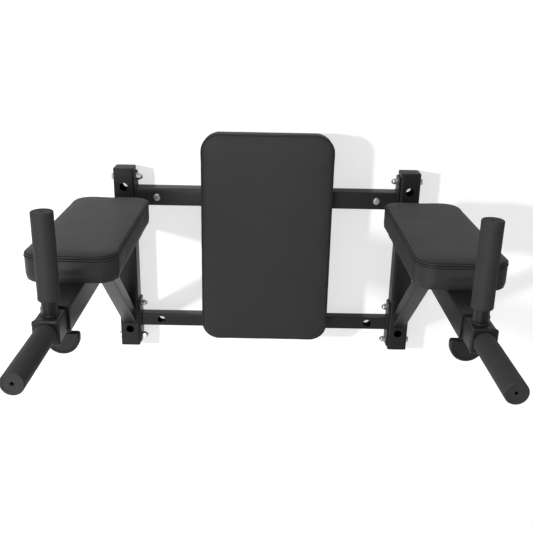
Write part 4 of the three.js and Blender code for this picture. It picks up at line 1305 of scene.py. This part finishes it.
def backdrop_finish(name, tone, glow):
    """A matt white with a glow that the camera sees and that lights nothing, though gloss shows part of it.

    Gloss shows more of it low down and on the left: a painted reflection of a bright sheet that is not
    there."""
    finish = Finish(name)
    place = finish.place()

    def fade(axis, start, full):
        value = finish.node("ShaderNodeSeparateXYZ", {}, {"Vector": place}, output=axis)
        sockets = {"Value": value, "From Min": start, "From Max": full}
        return finish.node("ShaderNodeMapRange", {"interpolation_type": "SMOOTHSTEP"}, sockets)

    # Painted reflection: glossy rays see more of the glow low down and on the left.
    low = fade("Z", *PAINTED_REFLECTION_HEIGHTS)
    left = fade("X", *PAINTED_REFLECTION_SIDES)
    finish.coat(Base_Color=(tone, tone, tone, 1), Roughness=0.9)
    rays = finish.node("ShaderNodeLightPath", output="Is Camera Ray")
    gloss = finish.node("ShaderNodeLightPath", output="Is Glossy Ray")
    through = finish.node("ShaderNodeLightPath", output="Is Transmission Ray")
    seen = rays + through + gloss * (low * left * PAINTED_REFLECTION_SHARE + GLOSS_SHARE)
    dark = finish.node("ShaderNodeEmission", {}, {"Color": (0, 0, 0, 1)})
    lit = finish.node("ShaderNodeEmission", {}, {"Color": (glow, glow, glow, 1)})
    extra = finish.node("ShaderNodeMixShader", {}, {0: seen, 1: dark, 2: lit})
    shown = finish.node("ShaderNodeAddShader", {}, {0: Shade(finish, finish.surface.outputs[0]), 1: extra})
    clear = finish.node("ShaderNodeBsdfTransparent")
    behind = finish.node("ShaderNodeNewGeometry", output="Backfacing")
    whole = finish.node("ShaderNodeMixShader", {}, {0: behind, 1: shown, 2: clear})
    finish.feed(finish.tree.nodes["Material Output"].inputs["Surface"], whole)
    return finish


def backdrop(name, corners, finish):
    mesh = bmesh.new()
    mesh.faces.new([mesh.verts.new(corner) for corner in corners])
    data = bpy.data.meshes.new(name)
    mesh.to_mesh(data)
    mesh.free()
    data.materials.append(finish.material)
    made = bpy.data.objects.new(name, data)
    bpy.context.scene.collection.objects.link(made)
    return made


foot_left, foot_right = ((x, WALL_Y, FLOOR_Z) for x in (-STUDIO_SIDE, STUDIO_SIDE))
top_left, top_right = ((x, WALL_Y, STUDIO_TOP) for x in (-STUDIO_SIDE, STUDIO_SIDE))
front_left, front_right = ((x, STUDIO_FRONT, FLOOR_Z) for x in (-STUDIO_SIDE, STUDIO_SIDE))
wall_white = backdrop_finish("studio_wall_white", tone=0.5, glow=0.65)
wall = backdrop("studio_wall", (foot_left, foot_right, top_right, top_left), wall_white)
floor_white = backdrop_finish("studio_floor_white", tone=0.6, glow=0.5)
ground = backdrop("studio_floor", (front_left, front_right, foot_right, foot_left), floor_white)


def studio_lamp(name, place, target, size, power, backdrops):
    """A flat lamp that faces its target; its light link includes the backdrops alone, or excludes them."""
    lamp = bpy.data.lights.new(name, "AREA")
    lamp.shape = "RECTANGLE"
    lamp.size, lamp.size_y = size
    lamp.energy = power
    made = bpy.data.objects.new(name, lamp)
    made.location = place
    made.rotation_euler = (Vector(target) - Vector(place)).to_track_quat("-Z", "Y").to_euler()
    bpy.context.scene.collection.objects.link(made)
    group = bpy.data.collections.new(f"{name}_backdrops")
    for surface in (wall, ground):
        group.objects.link(surface)
    for member in group.collection_objects:
        member.light_linking.link_state = backdrops
    made.light_linking.receiver_collection = group


studio_lamp("backdrop_lamp", place=(-2.4, -2.3, 0.5), target=(0, -0.1, 0), size=(0.2, 0.2), power=104,
            backdrops="INCLUDE")
studio_lamp("front_softbox", place=(-0.7, -2.4, 0.1), target=(-0.1, -0.1, -0.05), size=(1.0, 1.0), power=26,
            backdrops="EXCLUDE")
studio_lamp("top_softbox", place=(-0.6, -1.3, 2.0), target=(0, -0.3, 0), size=(1.2, 0.7), power=22,
            backdrops="EXCLUDE")
world = bpy.data.worlds.new("studio_air")
world.use_nodes = True
air = world.node_tree.nodes["Background"]
air.inputs["Color"].default_value = (1, 1, 1, 1)
paths = world.node_tree.nodes.new("ShaderNodeLightPath")
strength = world.node_tree.nodes.new("ShaderNodeMapRange")
strength.inputs["To Min"].default_value = AIR_LIGHT
world.node_tree.links.new(paths.outputs["Is Camera Ray"], strength.inputs["Value"])
world.node_tree.links.new(strength.outputs["Result"], air.inputs["Strength"])
bpy.context.scene.world = world
bpy.context.scene.view_settings.view_transform = "Standard"
